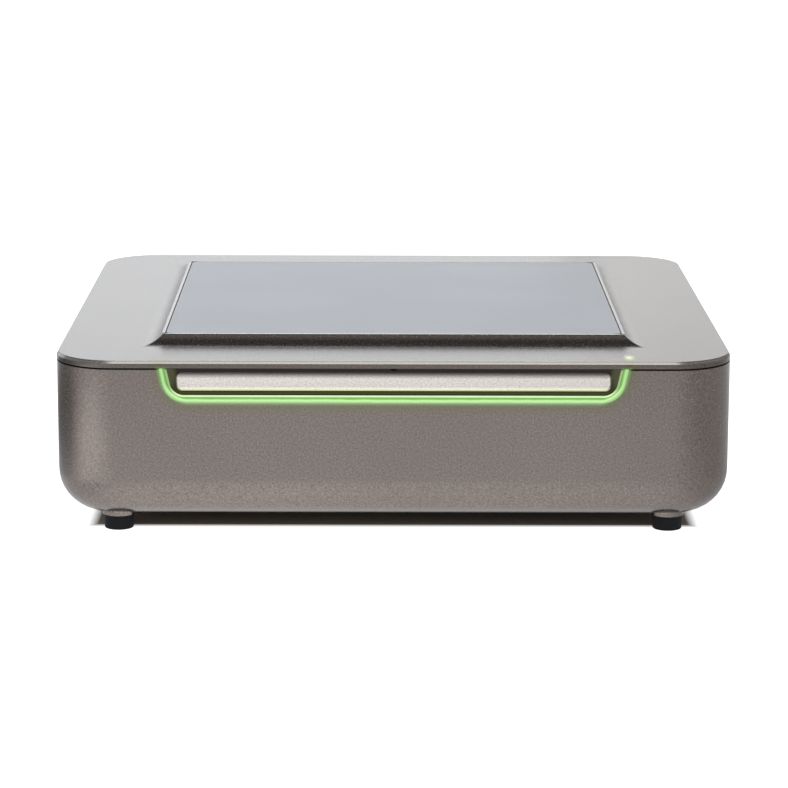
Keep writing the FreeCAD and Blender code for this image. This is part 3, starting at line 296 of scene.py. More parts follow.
class Finish(Nodes):
    """A material on one shader."""

    def __init__(self, name, **constants):
        self.material = bpy.data.materials.new(name)
        self.material.use_nodes = True
        super().__init__(self.material.node_tree)
        self.shader = self.tree.nodes["Principled BSDF"]
        for socket, value in constants.items():
            self.shader.inputs[socket.replace("_", " ")].default_value = value

    def feed(self, socket, value):
        self.tree.links.new(value.socket, self.shader.inputs[socket])

    def dented(self, height, depth):
        self.feed("Normal", self.node("ShaderNodeBump", sockets={
            "Height": height, "Distance": depth, "Strength": 1.0}))

    def beyond_recess(self):
        """How far a point lies outside the recess's outline seen from the front, below zero inside it."""
        s = sizes()
        lean = math.tan(s.recess_slant)
        side = (self.unsigned(self.axis("X")) + (s.rim_height - self.axis("Z")) * lean
                - s.recess_width / 2) * math.cos(s.recess_slant) + s.recess_radius
        down = s.recess_floor + s.recess_radius - self.axis("Z")
        out_side, out_down = side.at_least(0.0), down.at_least(0.0)
        apart = self.root(out_side * out_side + out_down * out_down)
        return apart + side.at_least(down).at_most(0.0) - s.recess_radius

    def over_floor(self):
        """How high a point lies over the recess's floor."""
        return self.axis("Z") - sizes().recess_floor

    def behind_front(self):
        """How far a point lies behind the housing's front."""
        return self.axis("Y") + sizes().body_depth / 2


def painted(name):
    """Metallic paint with fine flakes, with painted light where the lit band and the status light shine on it
    and a painted highlight on the platform's rim.
    """
    s, c = sizes(), colours()
    finish = Finish(name, Metallic=0.9, Emission_Strength=1.0, Specular_Tint=(0.93, 0.97, 1.0, 1.0))
    flakes = finish.noise(0.75 * MM, detail=3.0)
    clouds = finish.noise(40.0 * MM)
    shades = finish.mixed(finish.spread(flakes, 0.3, 0.7), shaded(c.paint, 0.8), tuple(c.paint_fleck))
    shades = finish.mixed(finish.spread(clouds, 0.3, 0.7, 0.0, 0.16), shades, shaded(c.paint, 0.8))

    # painted highlight: the platform's flat rim is mixed toward a pale colour, most along its front edge
    front_rim = -s.panel_depth / 2
    rim = finish.spread(finish.axis("Z"), s.platform_top - 0.2 * MM, s.platform_top)
    rim = rim * finish.spread(finish.axis("Y"), front_rim - 0.2 * MM, front_rim, 0.85, 0.25)
    shades = finish.mixed(rim, shades, RIM_HIGHLIGHT)

    beyond = finish.beyond_recess()
    # painted light: near the recess's front the paint's colour is mixed toward a green tint of the band's
    # glow
    near = finish.spread(finish.unsigned(beyond), 1.0 * MM, 5.0 * MM, 0.45, 0.0)
    front = finish.spread(finish.behind_front(), 12.0 * MM, 3.0 * MM)
    shades = finish.mixed(near * front, shades, tuple(c.painted_band_light))
    finish.feed("Base Color", darkened(finish, name, shades))

    # painted light: the paint next to the lit band glows green, fading over 1.8 mm
    half_band = s.guide_thick / 2 + s.guide_clearance
    from_band = (finish.unsigned(beyond + half_band) - half_band).at_least(finish.axis("Z") - s.rim_height)
    shine = finish.spread(from_band, 0.0, 1.8 * MM, 1.0, 0.0)
    light = finish.mixed(shine * shine * front, BLACK, shaded(c.glow, 0.3))
    if name == "cover_paint":
        # painted light: the cover glows round the status light
        lamp = beside_lamp(finish)
        light = finish.mixed(lamp * lamp, light, tuple(c.painted_lamp_glow))
    else:
        # painted highlight: the housing's cut edge glows pale along the lower part of the lit band
        edge = finish.spread(finish.unsigned(beyond), 0.1 * MM, 0.45 * MM, 1.0, 0.0)
        low = finish.spread(finish.over_floor(), 4.0 * MM, 9.0 * MM, 0.6, 0.0)
        light = finish.mixed(edge * low * front, light, tuple(c.painted_edge_highlight))
    finish.feed("Emission Color", light)
    finish.feed("Roughness", finish.spread(flakes, 0.3, 0.7, 0.19, 0.28))
    finish.dented(finish.noise(0.5 * MM), 0.007 * MM)
    return finish.material


def beside_lamp(finish):
    """1 at the status light, falling to 0 in a patch drawn out from front to back."""
    low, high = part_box("status_lens")
    middle = (low + high) / 2
    across, along = finish.axis("X") - middle.x, (finish.axis("Y") - middle.y) * 0.4
    return finish.spread(finish.root(across * across + along * along), 0.9 * MM, 3.4 * MM, 1.0, 0.0)


def darkened(finish, name, shades):
    """Paints shade into the parting line, on the cover's upright edge and in a thin line under its top, and
    paints a highlight on the slope round the cover's top.
    """
    s, z = sizes(), finish.axis("Z")
    if name == "cover_paint":
        crease = s.cover_top - s.edge_fall
        below_top = finish.spread(z, s.cover_top - 0.04 * MM, s.cover_top - 0.01 * MM, 1.0, 0.0)
        # painted highlight: the slope round the cover's top is mixed toward a lighter paint
        slope = finish.spread(z, crease, crease + 0.1 * MM, 0.0, 0.6)
        shades = finish.mixed(slope * below_top, shades, tuple(colours().slope))
        # painted shade: the cover's upright edge is darkened, the parting line almost black, and a thin line
        # under the top darkened
        edge = finish.spread(z, s.cover_top - 1.2 * MM, s.cover_top - 1.0 * MM, 0.36, 0.0)
        line = finish.spread(z, s.cover_under + 0.1 * MM, s.cover_under + 0.35 * MM, 0.9, 0.0)
        upper = finish.spread(z, s.cover_top - 0.5 * MM, s.cover_top - 0.35 * MM, 0.0, 0.3) * below_top
        return finish.mixed(edge.at_least(line).at_least(upper), shades, PAINTED_SHADE)
    # painted shade: the housing's upper edge is darkened in the parting line
    line = finish.spread(z, s.rim_height - 0.3 * MM, s.rim_height - 0.12 * MM, 0.0, 0.9)
    return finish.mixed(line, shades, PAINTED_SHADE)


def satin_sheet(name):
    """Blue-grey coated sheet with faint clouds and a very fine grain."""
    c = colours()
    finish = Finish(name, Specular_IOR_Level=0.5)
    cloud = finish.noise(60.0 * MM)
    finish.feed("Base Color", finish.mixed(finish.spread(cloud, 0.35, 0.65), tuple(c.panel),
                                           shaded(c.panel, 1.08)))
    finish.feed("Roughness", finish.spread(finish.noise(0.4 * MM), 0.3, 0.7, 0.3, 0.38))
    finish.dented(finish.noise(0.35 * MM), 0.008 * MM)
    return finish.material


def lit_band(name):
    """Clear plastic lit from behind: pale over most of its width, greener inside and up its ends."""
    finish = Finish(name, Roughness=0.25, Emission_Strength=1.0,
                    Base_Color=(*shaded(colours().glow, 0.15), 1.0))
    uneven = finish.spread(finish.noise(6.0 * MM), 0.3, 0.7, -0.12 * MM, 0.12 * MM)
    # the pale stop at the band's outer edge is partly the guide's own light and partly a painted highlight of
    # the housing's cut edge
    shades = finish.graded(finish.beyond_recess() + uneven, -2.4 * MM, 0.0,
                           (-2.3 * MM, srgb(108, 156, 72)), (-1.75 * MM, srgb(122, 176, 88)),
                           (-1.2 * MM, srgb(192, 242, 160)), (-0.6 * MM, srgb(184, 226, 162)),
                           (-0.15 * MM, srgb(158, 190, 136)))
    ends = finish.spread(finish.over_floor(), 4.0 * MM, 8.0 * MM, 0.0, 0.25)
    finish.feed("Emission Color", finish.mixed(ends, shades, srgb(92, 146, 70)))
    return finish.material


def lit_rim(name):
    """The moulding's edge beside the band, all painted light: a pale painted highlight where it faces up, and
    the band's green light painted up its ends.
    """
    c = colours()
    finish = Finish(name, Roughness=0.3, Emission_Strength=1.0, Base_Color=(*shaded(c.glow, 0.1), 1.0))
    uneven = finish.spread(finish.noise(9.0 * MM), 0.3, 0.7)
    pale = finish.mixed(uneven, tuple(c.recess_rim_highlight), shaded(c.recess_rim_highlight, 0.9))
    ends = finish.spread(finish.over_floor(), 3.4 * MM, 6.5 * MM)
    finish.feed("Emission Color", finish.mixed(ends, pale, srgb(152, 174, 126)))
    return finish.material


def lit_lens(name):
    """The light pipe's end, brightest at its middle."""
    finish = Finish(name, Roughness=0.25, Emission_Strength=1.0, Base_Color=(*srgb(90, 110, 60), 1.0))
    low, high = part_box("status_lens")
    middle = ((low.x + high.x) / 2, (low.y + high.y) / 2, high.z)
    core = finish.spread(finish.away(middle), 0.3 * MM, 1.1 * MM)
    finish.feed("Emission Color", finish.mixed(core, srgb(246, 255, 222), srgb(176, 226, 112)))
    return finish.material


def tray(name):
    """Dark moulding with painted light: a little green from the lit band and a paler grey up its ends, least
    at its mouth, where shade is painted.
    """
    shade = tuple(colours().recess)
    finish = Finish(name, Emission_Strength=1.0, IOR=1.15)
    grain = finish.noise(0.4 * MM, detail=3.0)
    finish.feed("Base Color", finish.mixed(finish.spread(grain, 0.3, 0.7), shade, shaded(shade, 1.3)))
    finish.feed("Roughness", finish.spread(grain, 0.3, 0.7, 0.5, 0.66))
    beyond = finish.beyond_recess()
    # painted light from the lit band, greener nearer the band
    light = finish.graded(beyond, -8.0 * MM, -2.0 * MM, (-8.0 * MM, srgb(48, 44, 43)),
                          (-5.0 * MM, srgb(44, 46, 30)), (-3.6 * MM, srgb(52, 58, 30)))
    low = finish.spread(finish.over_floor(), 5.0 * MM, 8.0 * MM, 1.0, 0.0)
    # painted light: a paler grey up the tray's ends
    ends = (1.0 - low) * finish.spread(beyond, -6.0 * MM, -4.0 * MM)
    light = finish.mixed(ends, light, srgb(76, 78, 58))
    # painted shade: low down near the mouth the glow is nearly black-green
    mouth = finish.spread(finish.behind_front(), 0.5 * MM, 3.5 * MM, 1.0, 0.0)
    finish.feed("Emission Color", finish.mixed(mouth * low, light, srgb(8, 26, 1)))
    finish.dented(grain, 0.01 * MM)
    return finish.material


def bar_metal(name):
    """Fine-grained satin metal, with the cover's shadow painted on its top and the band's warm light painted
    along its bottom.
    """
    c = colours()
    finish = Finish(name, Metallic=1.0, Emission_Strength=1.0)
    low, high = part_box("push_bar")
    z = finish.axis("Z")
    grain = finish.noise(0.6 * MM, detail=3.0, stretch=(0.6, 1.0, 1.0))
    shades = finish.mixed(finish.spread(grain, 0.3, 0.7), shaded(c.bar, 0.63), shaded(c.bar, 0.89))
    # painted shadow: the top under the cover's overhang is mixed toward near black
    painted_cover_shadow = finish.spread(z, high.z - 2.9 * MM, high.z - 0.7 * MM, 0.0, 0.95)
    finish.feed("Base Color", finish.mixed(painted_cover_shadow, shades, (0.04, 0.036, 0.036)))
    finish.feed("Roughness", finish.spread(finish.noise(14.0 * MM), 0.3, 0.7, 0.44, 0.56))
    # painted light: a dull glow in the painted shadow at the top, and a warm cream glow along the bottom
    upper = finish.spread(z, high.z - 1.2 * MM, high.z - 0.2 * MM)
    warm = finish.spread(z, low.z, low.z + 2.0 * MM, 1.0, 0.0)
    light = finish.mixed(upper, BLACK, srgb(46, 41, 40))
    finish.feed("Emission Color", finish.mixed(warm, light, srgb(210, 211, 166)))
    finish.dented(grain, 0.01 * MM)
    return finish.material


def brushed(name, shade, along=(0.02, 1.0, 1.0), rough=0.34):
    """Metal drawn in one direction, with fine lines and a few soft marks."""
    finish = Finish(name, Metallic=1.0)
    lines = finish.noise(0.16 * MM, detail=3.0, stretch=along)
    marks = finish.noise(14.0 * MM)
    finish.feed("Base Color", finish.mixed(finish.spread(lines, 0.3, 0.7), shaded(shade, 0.84), shade))
    finish.feed("Roughness", finish.spread(marks, 0.3, 0.7, rough - 0.04, rough + 0.06))
    finish.dented(lines, 0.006 * MM)
    return finish.material


def moulded(name, shade, rough=0.5, grain=0.3, depth=0.01, metallic=0.0, gloss=0.5):
    """Plain moulded or coated stuff: a fine grain and slightly uneven gloss; grain and depth in mm."""
    finish = Finish(name, Metallic=metallic, Specular_IOR_Level=gloss)
    texture = finish.noise(grain * MM, detail=3.0)
    light = tuple(min(1.0, v * 1.18 + 0.002) for v in shade)
    finish.feed("Base Color", finish.mixed(finish.spread(texture, 0.3, 0.7), shade, light))
    finish.feed("Roughness", finish.spread(texture, 0.3, 0.7, rough - 0.05, rough + 0.07))
    finish.dented(texture, depth * MM)
    return finish.material


def board_mask(name):
    """Green solder mask over faint copper runs."""
    finish = Finish(name)
    runs = finish.node("ShaderNodeTexBrick", {"offset": 0.37}, {
        "Vector": finish.node("ShaderNodeTexCoord", output="Object"), "Scale": 1.0 / (9.0 * MM),
        "Mortar Size": 0.03, "Color1": (*srgb(16, 78, 46), 1.0), "Color2": (*srgb(14, 70, 42), 1.0),
        "Mortar": (*srgb(30, 104, 62), 1.0)}, output="Color")
    finish.feed("Base Color", runs)
    finish.feed("Roughness", finish.spread(finish.noise(2.0 * MM), 0.3, 0.7, 0.28, 0.4))
    return finish.material


def ribbon_stripes(name):
    """Grey flat cable with ridges along its conductors."""
    finish = Finish(name, Roughness=0.45)
    ridges = finish.node("ShaderNodeTexWave", {"bands_direction": "X"}, {
        "Vector": finish.node("ShaderNodeTexCoord", output="Object"), "Scale": 1.0 / (8.0 * MM)}, output=1)
    finish.feed("Base Color", finish.mixed(ridges, srgb(120, 120, 122), srgb(165, 165, 165)))
    finish.dented(ridges, 0.15 * MM)
    return finish.material


def make_finishes():
    """Every finish by the name of the slot that uses it."""
    c = colours()
    return {
        "housing_paint": painted("housing_paint"),
        "cover_paint": painted("cover_paint"),
        "panel_sheet": satin_sheet("panel_sheet"),
        "light_guide": lit_band("light_guide"),
        "light_guide_lip": lit_rim("light_guide_lip"),
        "status_lens": lit_lens("status_lens"),
        "bezel": tray("bezel"),
        "bar_metal": bar_metal("bar_metal"),
        "black_plastic": moulded("black_plastic", srgb(30, 30, 31), rough=0.5),
        "steel": brushed("steel", srgb(170, 170, 172), along=(1.0, 0.05, 1.0)),
        "spring_steel": brushed("spring_steel", srgb(140, 140, 146)),
        "board_green": board_mask("board_green"),
        "lamp_white": moulded("lamp_white", srgb(225, 222, 205), rough=0.3),
        "screw_steel": brushed("screw_steel", srgb(120, 120, 124), along=(1.0, 1.0, 0.05)),
        "tin_plate": brushed("tin_plate", srgb(178, 178, 174), along=(0.1, 1.0, 1.0)),
        "chip_black": moulded("chip_black", srgb(36, 36, 38), rough=0.6),
        "fin_aluminium": moulded("fin_aluminium", srgb(52, 52, 56), rough=0.4, metallic=0.8),
        "film_block": moulded("film_block", srgb(120, 36, 30), rough=0.3),
        "relay_white": moulded("relay_white", srgb(214, 212, 205), rough=0.45),
        "ribbon": ribbon_stripes("ribbon"),
        "rear_panel": moulded("rear_panel", srgb(38, 38, 40), rough=0.45, grain=0.5, depth=0.02),
        "switch_black": moulded("switch_black", srgb(26, 26, 28), rough=0.35),
        "brass": brushed("brass", srgb(196, 164, 96)),
        "foot_rubber": moulded("foot_rubber", tuple(c.rubber), rough=0.72, grain=0.5, depth=0.03,
                               gloss=0.2),
        "socket_black": moulded("socket_black", srgb(28, 28, 29), rough=0.5),
    }


# ---------------------------------------------------------------- modelling
def alone(piece):
    """Makes a piece the only one selected."""
    bpy.ops.object.select_all(action="DESELECT")
    piece.select_set(True)
    bpy.context.view_layer.objects.active = piece


def started(name, add, **settings):
    """A primitive at its size and place, with the place in its mesh."""
    bpy.ops.object.select_all(action="DESELECT")
    add(**settings)
    piece = bpy.context.object
    piece.name = name
    piece.data.name = name
    alone(piece)
    bpy.ops.object.transform_apply(location=True, rotation=True, scale=True)
    return piece


def block(name, low, high):
    """A block from its lowest to its highest corner."""
    low, high = Vector(low), Vector(high)
    return started(name, bpy.ops.mesh.primitive_cube_add, size=1.0, location=(low + high) / 2,
                   scale=high - low)


def bar_round(name, radius, centre, low, high, axis="Z", sides=48):
    """A round bar along an axis from low to high; centre holds its two other coordinates."""
    middle = list(centre)
    middle.insert("XYZ".index(axis), (low + high) / 2)
    turn = {"X": (0, math.pi / 2, 0), "Y": (math.pi / 2, 0, 0), "Z": (0, 0, 0)}[axis]
    return started(name, bpy.ops.mesh.primitive_cylinder_add, vertices=sides, radius=radius,
                   depth=high - low, location=middle, rotation=turn)


def shape(piece, kind, test, *steps):
    """In edit mode, selects the edges or faces that pass the test and runs the steps on them."""
    alone(piece)
    bpy.ops.object.mode_set(mode="EDIT")
    bpy.ops.mesh.select_mode(type=kind)
    bpy.ops.mesh.select_all(action="DESELECT")
    mesh = bmesh.from_edit_mesh(piece.data)
    chosen = [item for item in (mesh.faces if kind == "FACE" else mesh.edges) if test(item)]
    if not chosen:
        raise RuntimeError(f"nothing to shape on {piece.name}")
    for item in chosen:
        item.select_set(True)
    mesh.select_flush_mode()
    bmesh.update_edit_mesh(piece.data)
    for action, settings in steps:
        action(**settings)
    bpy.ops.object.mode_set(mode="OBJECT")
    return piece


def runs(edge, axis):
    """Whether an edge runs along an axis."""
    along = edge.verts[1].co - edge.verts[0].co
    return all(abs(along[i]) < NEAR for i in range(3) if i != "XYZ".index(axis))


def rises(edge):
    """Whether an edge's two ends differ in height."""
    return abs(edge.verts[0].co.z - edge.verts[1].co.z) > NEAR / 200


def lies(item, axis, level):
    """Whether an edge or face lies in the plane across an axis at a level."""
    return all(abs(v.co["XYZ".index(axis)] - level) < NEAR for v in item.verts)


def rounding(offset, segments):
    """A bevel step for the chosen edges."""
    return bpy.ops.mesh.bevel, {"offset": offset, "offset_type": "OFFSET", "segments": segments,
                                "profile": 0.5, "affect": "EDGES"}


def raised(distance, axis="Z"):
    """An extrude step along an axis."""
    move = [0.0, 0.0, 0.0]
    move["XYZ".index(axis)] = distance
    return bpy.ops.mesh.extrude_region_move, {"TRANSFORM_OT_translate": {"value": tuple(move)}}


def resized(x=1.0, y=1.0, z=1.0, centre=(0.0, 0.0, 0.0)):
    """A scale step about a centre."""
    return bpy.ops.transform.resize, {"value": (x, y, z), "center_override": centre}


def modified(piece, kind, **settings):
    """Adds a modifier and applies it."""
    alone(piece)
    made = piece.modifiers.new(kind.lower(), kind)
    for setting, value in settings.items():
        setattr(made, setting, value)
    bpy.ops.object.modifier_apply(modifier=made.name)
    return piece


def cut(piece, *cutters, operation="DIFFERENCE"):
    """Takes the cutters away from a piece, or joins them to it, and removes them."""
    for cutter in cutters:
        modified(piece, "BOOLEAN", operation=operation, object=cutter, solver="EXACT")
        bpy.data.objects.remove(cutter)
    return piece


def softened(piece, width, segments=2, angle=35.0):
    """Rounds every edge sharper than the angle."""
    return modified(piece, "BEVEL", width=width, segments=segments, limit_method="ANGLE",
                    angle_limit=math.radians(angle), use_clamp_overlap=True, harden_normals=False)


def finished(piece, body, finish, *nodes, smooth=32.0, weighted=True):
    """Smooths a piece, gives it its finish, ties it to its body and hides the nodes that it stands for."""
    alone(piece)
    bpy.ops.object.shade_smooth_by_angle(angle=math.radians(smooth))
    if weighted:
        modified(piece, "WEIGHTED_NORMAL", keep_sharp=True, weight=90)
    piece.data.materials.clear()
    piece.data.materials.append(FINISHES[finish])
    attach(piece, body)
    if nodes:
        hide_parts(*nodes)
    return piece


def upright_block(name, half_x, half_y, low, high, radius, steps=CURVE_STEPS):
    """A block with its four upright edges rounded."""
    piece = block(name, (-half_x, -half_y, low), (half_x, half_y, high))
    return shape(piece, "EDGE", lambda e: runs(e, "Z"), rounding(radius, steps))


def recess_block(name, inset, front, back, top, steps=10):
    """The front recess as a solid, drawn in by an even inset: leaning ends and round lower corners."""
    s = sizes()
    lean = math.tan(s.recess_slant)
    edge = inset / math.cos(s.recess_slant)
    floor = s.recess_floor + inset
    wide = s.recess_width / 2 - edge + (top - s.rim_height) * lean
    narrow = s.recess_width / 2 - edge - (s.rim_height - floor) * lean
    piece = block(name, (-wide, front, floor), (wide, back, top))
    shape(piece, "FACE", lambda f: lies(f, "Z", floor), resized(x=narrow / wide))
    reach = (s.recess_radius - inset) * math.tan((math.pi / 2 - s.recess_slant) / 2)
    return shape(piece, "EDGE", lambda e: runs(e, "Y") and lies(e, "Z", floor), rounding(reach, steps))


def channel(name, inset, thick, front, back, top):
    """A band of even thickness along the recess's ends and floor."""
    piece = recess_block(name, inset, front, back, top)
    shape(piece, "FACE", lambda f: lies(f, "Y", front) or lies(f, "Y", back) or lies(f, "Z", top),
          (bpy.ops.mesh.delete, {"type": "FACE"}))
    alone(piece)
    bpy.ops.object.mode_set(mode="EDIT")
    bpy.ops.mesh.select_all(action="SELECT")
    bpy.ops.mesh.normals_make_consistent(inside=False)
    bpy.ops.object.mode_set(mode="OBJECT")
    return modified(piece, "SOLIDIFY", thickness=thick, offset=-1.0, use_even_offset=True)


def copied(piece, name, move):
    """A copy with its own mesh, moved by a step."""
    made = piece.copy()
    made.data = piece.data.copy()
    made.name = name
    made.data.name = name
    bpy.context.scene.collection.objects.link(made)
    alone(made)
    made.location = move
    bpy.ops.object.transform_apply(location=True, rotation=True, scale=True)
    return made


def platform_half():
    """Half the width and depth of the platform's top."""
    s = sizes()
    border = s.panel_gap + s.platform_rim
    return s.panel_width / 2 + border, s.panel_depth / 2 + border


def foot_places():
    """Where the feet stand."""
    low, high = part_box("foot_front_left")
    x, y = (low.x + high.x) / 2, (low.y + high.y) / 2
    return [(x, y), (-x, y), (x, -y), (-x, -y)]


def port_middle(node):
    """The middle of a rear port's mouth: its x and z."""
    low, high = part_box(node)
    return ((low.x + high.x) / 2, high.z - port_half(node)[1])


def port_half(node):
    """Half the width and height of a rear port where it passes the plate."""
    low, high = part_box(node)
    return (high.x - low.x) / 2, STANDING_PORTS.get(node, (high.z - low.z) / 2)


def screw(name, radius, head, place, seat, axis, shank=None):
    """A pan-head screw with a six-sided recess; its head stands on seat and looks along -Z or +Y."""
    out = 1.0 if axis == "Y" else -1.0
    face = seat + out * head
    made = bar_round(name, radius, place, min(seat, face), max(seat, face), axis=axis, sides=32)
    if shank:
        shape(made, "FACE", lambda f: lies(f, axis, seat),
              (bpy.ops.mesh.inset, {"thickness": radius - 1.5 * MM}), raised(shank - seat, axis))
    shape(made, "EDGE", lambda e: lies(e, axis, face), rounding(head * 0.42, 3))
    return cut(made, bar_round("drive", 1.3 * MM, place, face - PAST, face + PAST, axis=axis, sides=6))


class AUDIOMETER_OT_stage(bpy.types.Operator):
    """The pale floor, the soft lamps and the camera"""

    bl_idname = "audiometer.stage"
    bl_label = "Stage"

    def execute(self, context):
        scene = context.scene
        scene.view_settings.view_transform = "Standard"
        self.floor()
        self.world(scene)
        self.lamp("back_lamp", (-0.915, 1.533, 0.56), (2.71, 0.62), 6.22, WHITE)
        self.lamp("side_lamp", (0.66, 2.09, 0.56), (0.88, 0.62), 1.62, (1.0, 0.972, 0.935))
        self.camera(scene)
        return {"FINISHED"}

    def floor(self):
        """Pale all round, with a painted shadow under the object and a painted dark patch left of it that the
        paint mirrors; what the paint mirrors of it is lit in soft pools.
        """
        bpy.ops.object.select_all(action="DESELECT")
        bpy.ops.mesh.primitive_grid_add(x_subdivisions=8, y_subdivisions=8, size=8.0, location=(0, 0, 0))
        floor = bpy.context.object
        floor.name = "floor"
        finish = Finish("floor_white", Roughness=0.9, Specular_IOR_Level=0.1, Emission_Color=(*WHITE, 1.0))
        x, y = finish.axis("X"), finish.axis("Y")
        clear = finish.spread((finish.unsigned(x) - 0.126).at_least(finish.unsigned(y) - 0.112), 0.0, 0.005)
        # painted shade: a darker patch of floor left of the object, seen mostly in the paint's reflection
        patch = finish.spread(finish.away((-0.36, 0.02, 0.0)), 0.12, 0.22, 1.0, 0.0)
        pale = finish.mixed(patch, tuple(colours().floor), srgb(130, 127, 125))
        # painted shadow: the floor's colour is darker under the object
        finish.feed("Base Color", finish.mixed(clear, srgb(172, 162, 152), pale))
        pool = (0.08 + finish.spread(finish.away((-0.1, -0.34, 0.0)), 0.2, 0.42, 0.52, 0.0)
                + finish.spread(finish.away((-0.28, -0.26, 0.0)), 0.04, 0.16, 0.8, 0.0)
                + finish.spread(y, 0.12, 0.4, 0.0, 0.8))
        step = finish.spread(y, -0.24, -0.14, 0.0, 0.45)
        step = step * finish.spread(finish.unsigned(x), 0.11, 0.15, 1.0, 0.0)
        far = finish.spread(finish.away((0.0, 0.0, 0.0)), 0.16, 0.32, 0.97, 1.0)
        reflected = finish.seen_by("Glossy", "Transmission")
        finish.feed("Emission Strength", (reflected * (pool + step) + finish.seen_by("Camera") * far) * clear)
        floor.data.materials.append(finish.material)

    def world(self, scene):
        """Bright round the horizon, dim above it, with soft light overhead and above the front."""
        world = bpy.data.worlds.new("studio")
        scene.world = world
        world.use_nodes = True
        sky = Nodes(world.node_tree)
        background = world.node_tree.nodes["Background"]
        background.inputs["Color"].default_value = (*WHITE, 1.0)
        x, y, z = (sky.axis(letter, "Generated") for letter in "XYZ")
        low = sky.spread(z, 0.0, 0.2, 0.56, 0.6).at_most(sky.spread(z, 0.2, 0.36, 0.6, 0.06))
        low = low * sky.spread(x, -0.85, -0.5, 0.5, 1.0)
        top = sky.spread(z, 0.77, 0.97, 0.0, 0.46)
        front = sky.spread(y, -0.5, -0.6, 0.0, 3.8) * sky.spread(z, 0.3, 0.45)
        sides = sky.spread(sky.unsigned(x), 0.2, 0.45, 0.0, 0.6) * sky.spread(z, 0.2, 0.35)
        fill = sky.spread(z, 0.1, 0.5, 0.08, 0.66)
        level = low.at_least(top).at_least(front.at_least(sides) * sky.seen_by("Glossy", "Transmission"))
        level = level.at_least(sky.seen_by("Camera")).at_least(sky.seen_by("Diffuse") * fill)
        world.node_tree.links.new(level.socket, background.inputs["Strength"])

    def lamp(self, name, place, face, power, tint):
        """A wide soft lamp that looks at the object."""
        data = bpy.data.lights.new(name, "AREA")
        data.shape = "RECTANGLE"
        data.size, data.size_y = face
        data.energy = power
        data.color = tint
        lamp = bpy.data.objects.new(name, data)
        lamp.location = place
        lamp.rotation_euler = (Vector((0, 0, 0.04)) - lamp.location).to_track_quat("-Z", "Y").to_euler()
        bpy.context.scene.collection.objects.link(lamp)

    def camera(self, scene):
        data = bpy.data.cameras.new("camera")
        data.lens = 135.85
        data.sensor_width = 36.0
        data.clip_end = 20.0
        camera = bpy.data.objects.new("camera", data)
        camera.location = (-0.00477, -1.3445, 0.3212)
        camera.rotation_euler = (math.radians(77.902), math.radians(-0.1613), math.radians(-0.1964))
        scene.collection.objects.link(camera)
        scene.camera = camera


class AUDIOMETER_OT_inside(bpy.types.Operator):
    """The finishes of the parts that the construction model already shapes"""

    bl_idname = "audiometer.inside"
    bl_label = "Construction parts"

    def execute(self, context):
        FINISHES.update(make_finishes())
        for part in frame["record"]["subparts"]:
            node = frame["nodes"][part["node"]]
            node.data.materials.clear()
            node.data.materials.append(FINISHES[part["material_slot"]])
        return {"FINISHED"}


class AUDIOMETER_OT_housing(bpy.types.Operator):
    """The painted lower shell: rounded base, hollow inside, front recess, rear opening and foot bosses"""

    bl_idname = "audiometer.housing"
    bl_label = "Housing"

    def execute(self, context):
        s = sizes()
        half_x, half_y = s.body_width / 2, s.body_depth / 2
        base, rim = s.base_height, s.rim_height
        shell = upright_block("housing_shell", half_x, half_y, base, rim, s.corner_radius)
        shape(shell, "EDGE", lambda e: lies(e, "Z", base), rounding(s.base_rounding, 10))
        cut(shell, self.hollow())
        cut(shell, recess_block("recess", 0.0, -half_y - PAST, -half_y + s.wall + PAST, rim + PAST))
        self.open_rear(shell)
        for place in FOUR_SCREWS:
            cut(shell, bar_round("head_hole", s.head_hole, place, base - PAST, base + 4.0 * MM))
        foot_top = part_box("foot_front_left")[1].z
        bosses = [bar_round("boss", s.boss_radius, place, foot_top, base + s.wall / 2)
                  for place in foot_places()]
        cut(shell, *bosses, operation="UNION")
        softened(shell, s.edge_softness)
        finished(shell, "housing", "housing_paint", "lower_housing")
        return {"FINISHED"}

    def rear_seat(self):
        """The lowest and highest corner of the place that the rear plate fills."""
        low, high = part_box("rear_panel")
        gap = sizes().seat_gap
        return (Vector((low.x - gap, low.y, low.z - gap)),
                Vector((high.x + gap, sizes().body_depth / 2 + PAST, high.z + gap)))

    def hollow(self):
        """The space inside the walls, less the frame that carries the rear plate."""
        s = sizes()
        inside = upright_block("inside", s.body_width / 2 - s.wall, s.body_depth / 2 - s.wall,
                               s.base_height + s.wall, s.rim_height + PAST, s.corner_radius - s.wall)
        shape(inside, "EDGE", lambda e: lies(e, "Z", s.base_height + s.wall), rounding(12.0 * MM, 1))
        low, high = self.rear_seat()
        frame_low = low - Vector((s.seat_frame, 4.0 * MM, s.seat_frame))
        frame_high = Vector((high.x + s.seat_frame, s.body_depth / 2, high.z + s.seat_frame))
        return cut(inside, block("rear_frame", frame_low, frame_high))

    def open_rear(self, shell):
        """The seat of the rear plate and the way through its frame."""
        low, high = self.rear_seat()
        cut(shell, block("rear_seat", low, high))
        margin = Vector((7.0 * MM, 0.0, 2.5 * MM))
        way_low = Vector((low.x, low.y - 4.0 * MM - PAST, low.z)) + margin
        way_high = Vector((high.x, low.y + PAST, high.z)) - margin
        cut(shell, block("rear_way", way_low, way_high))


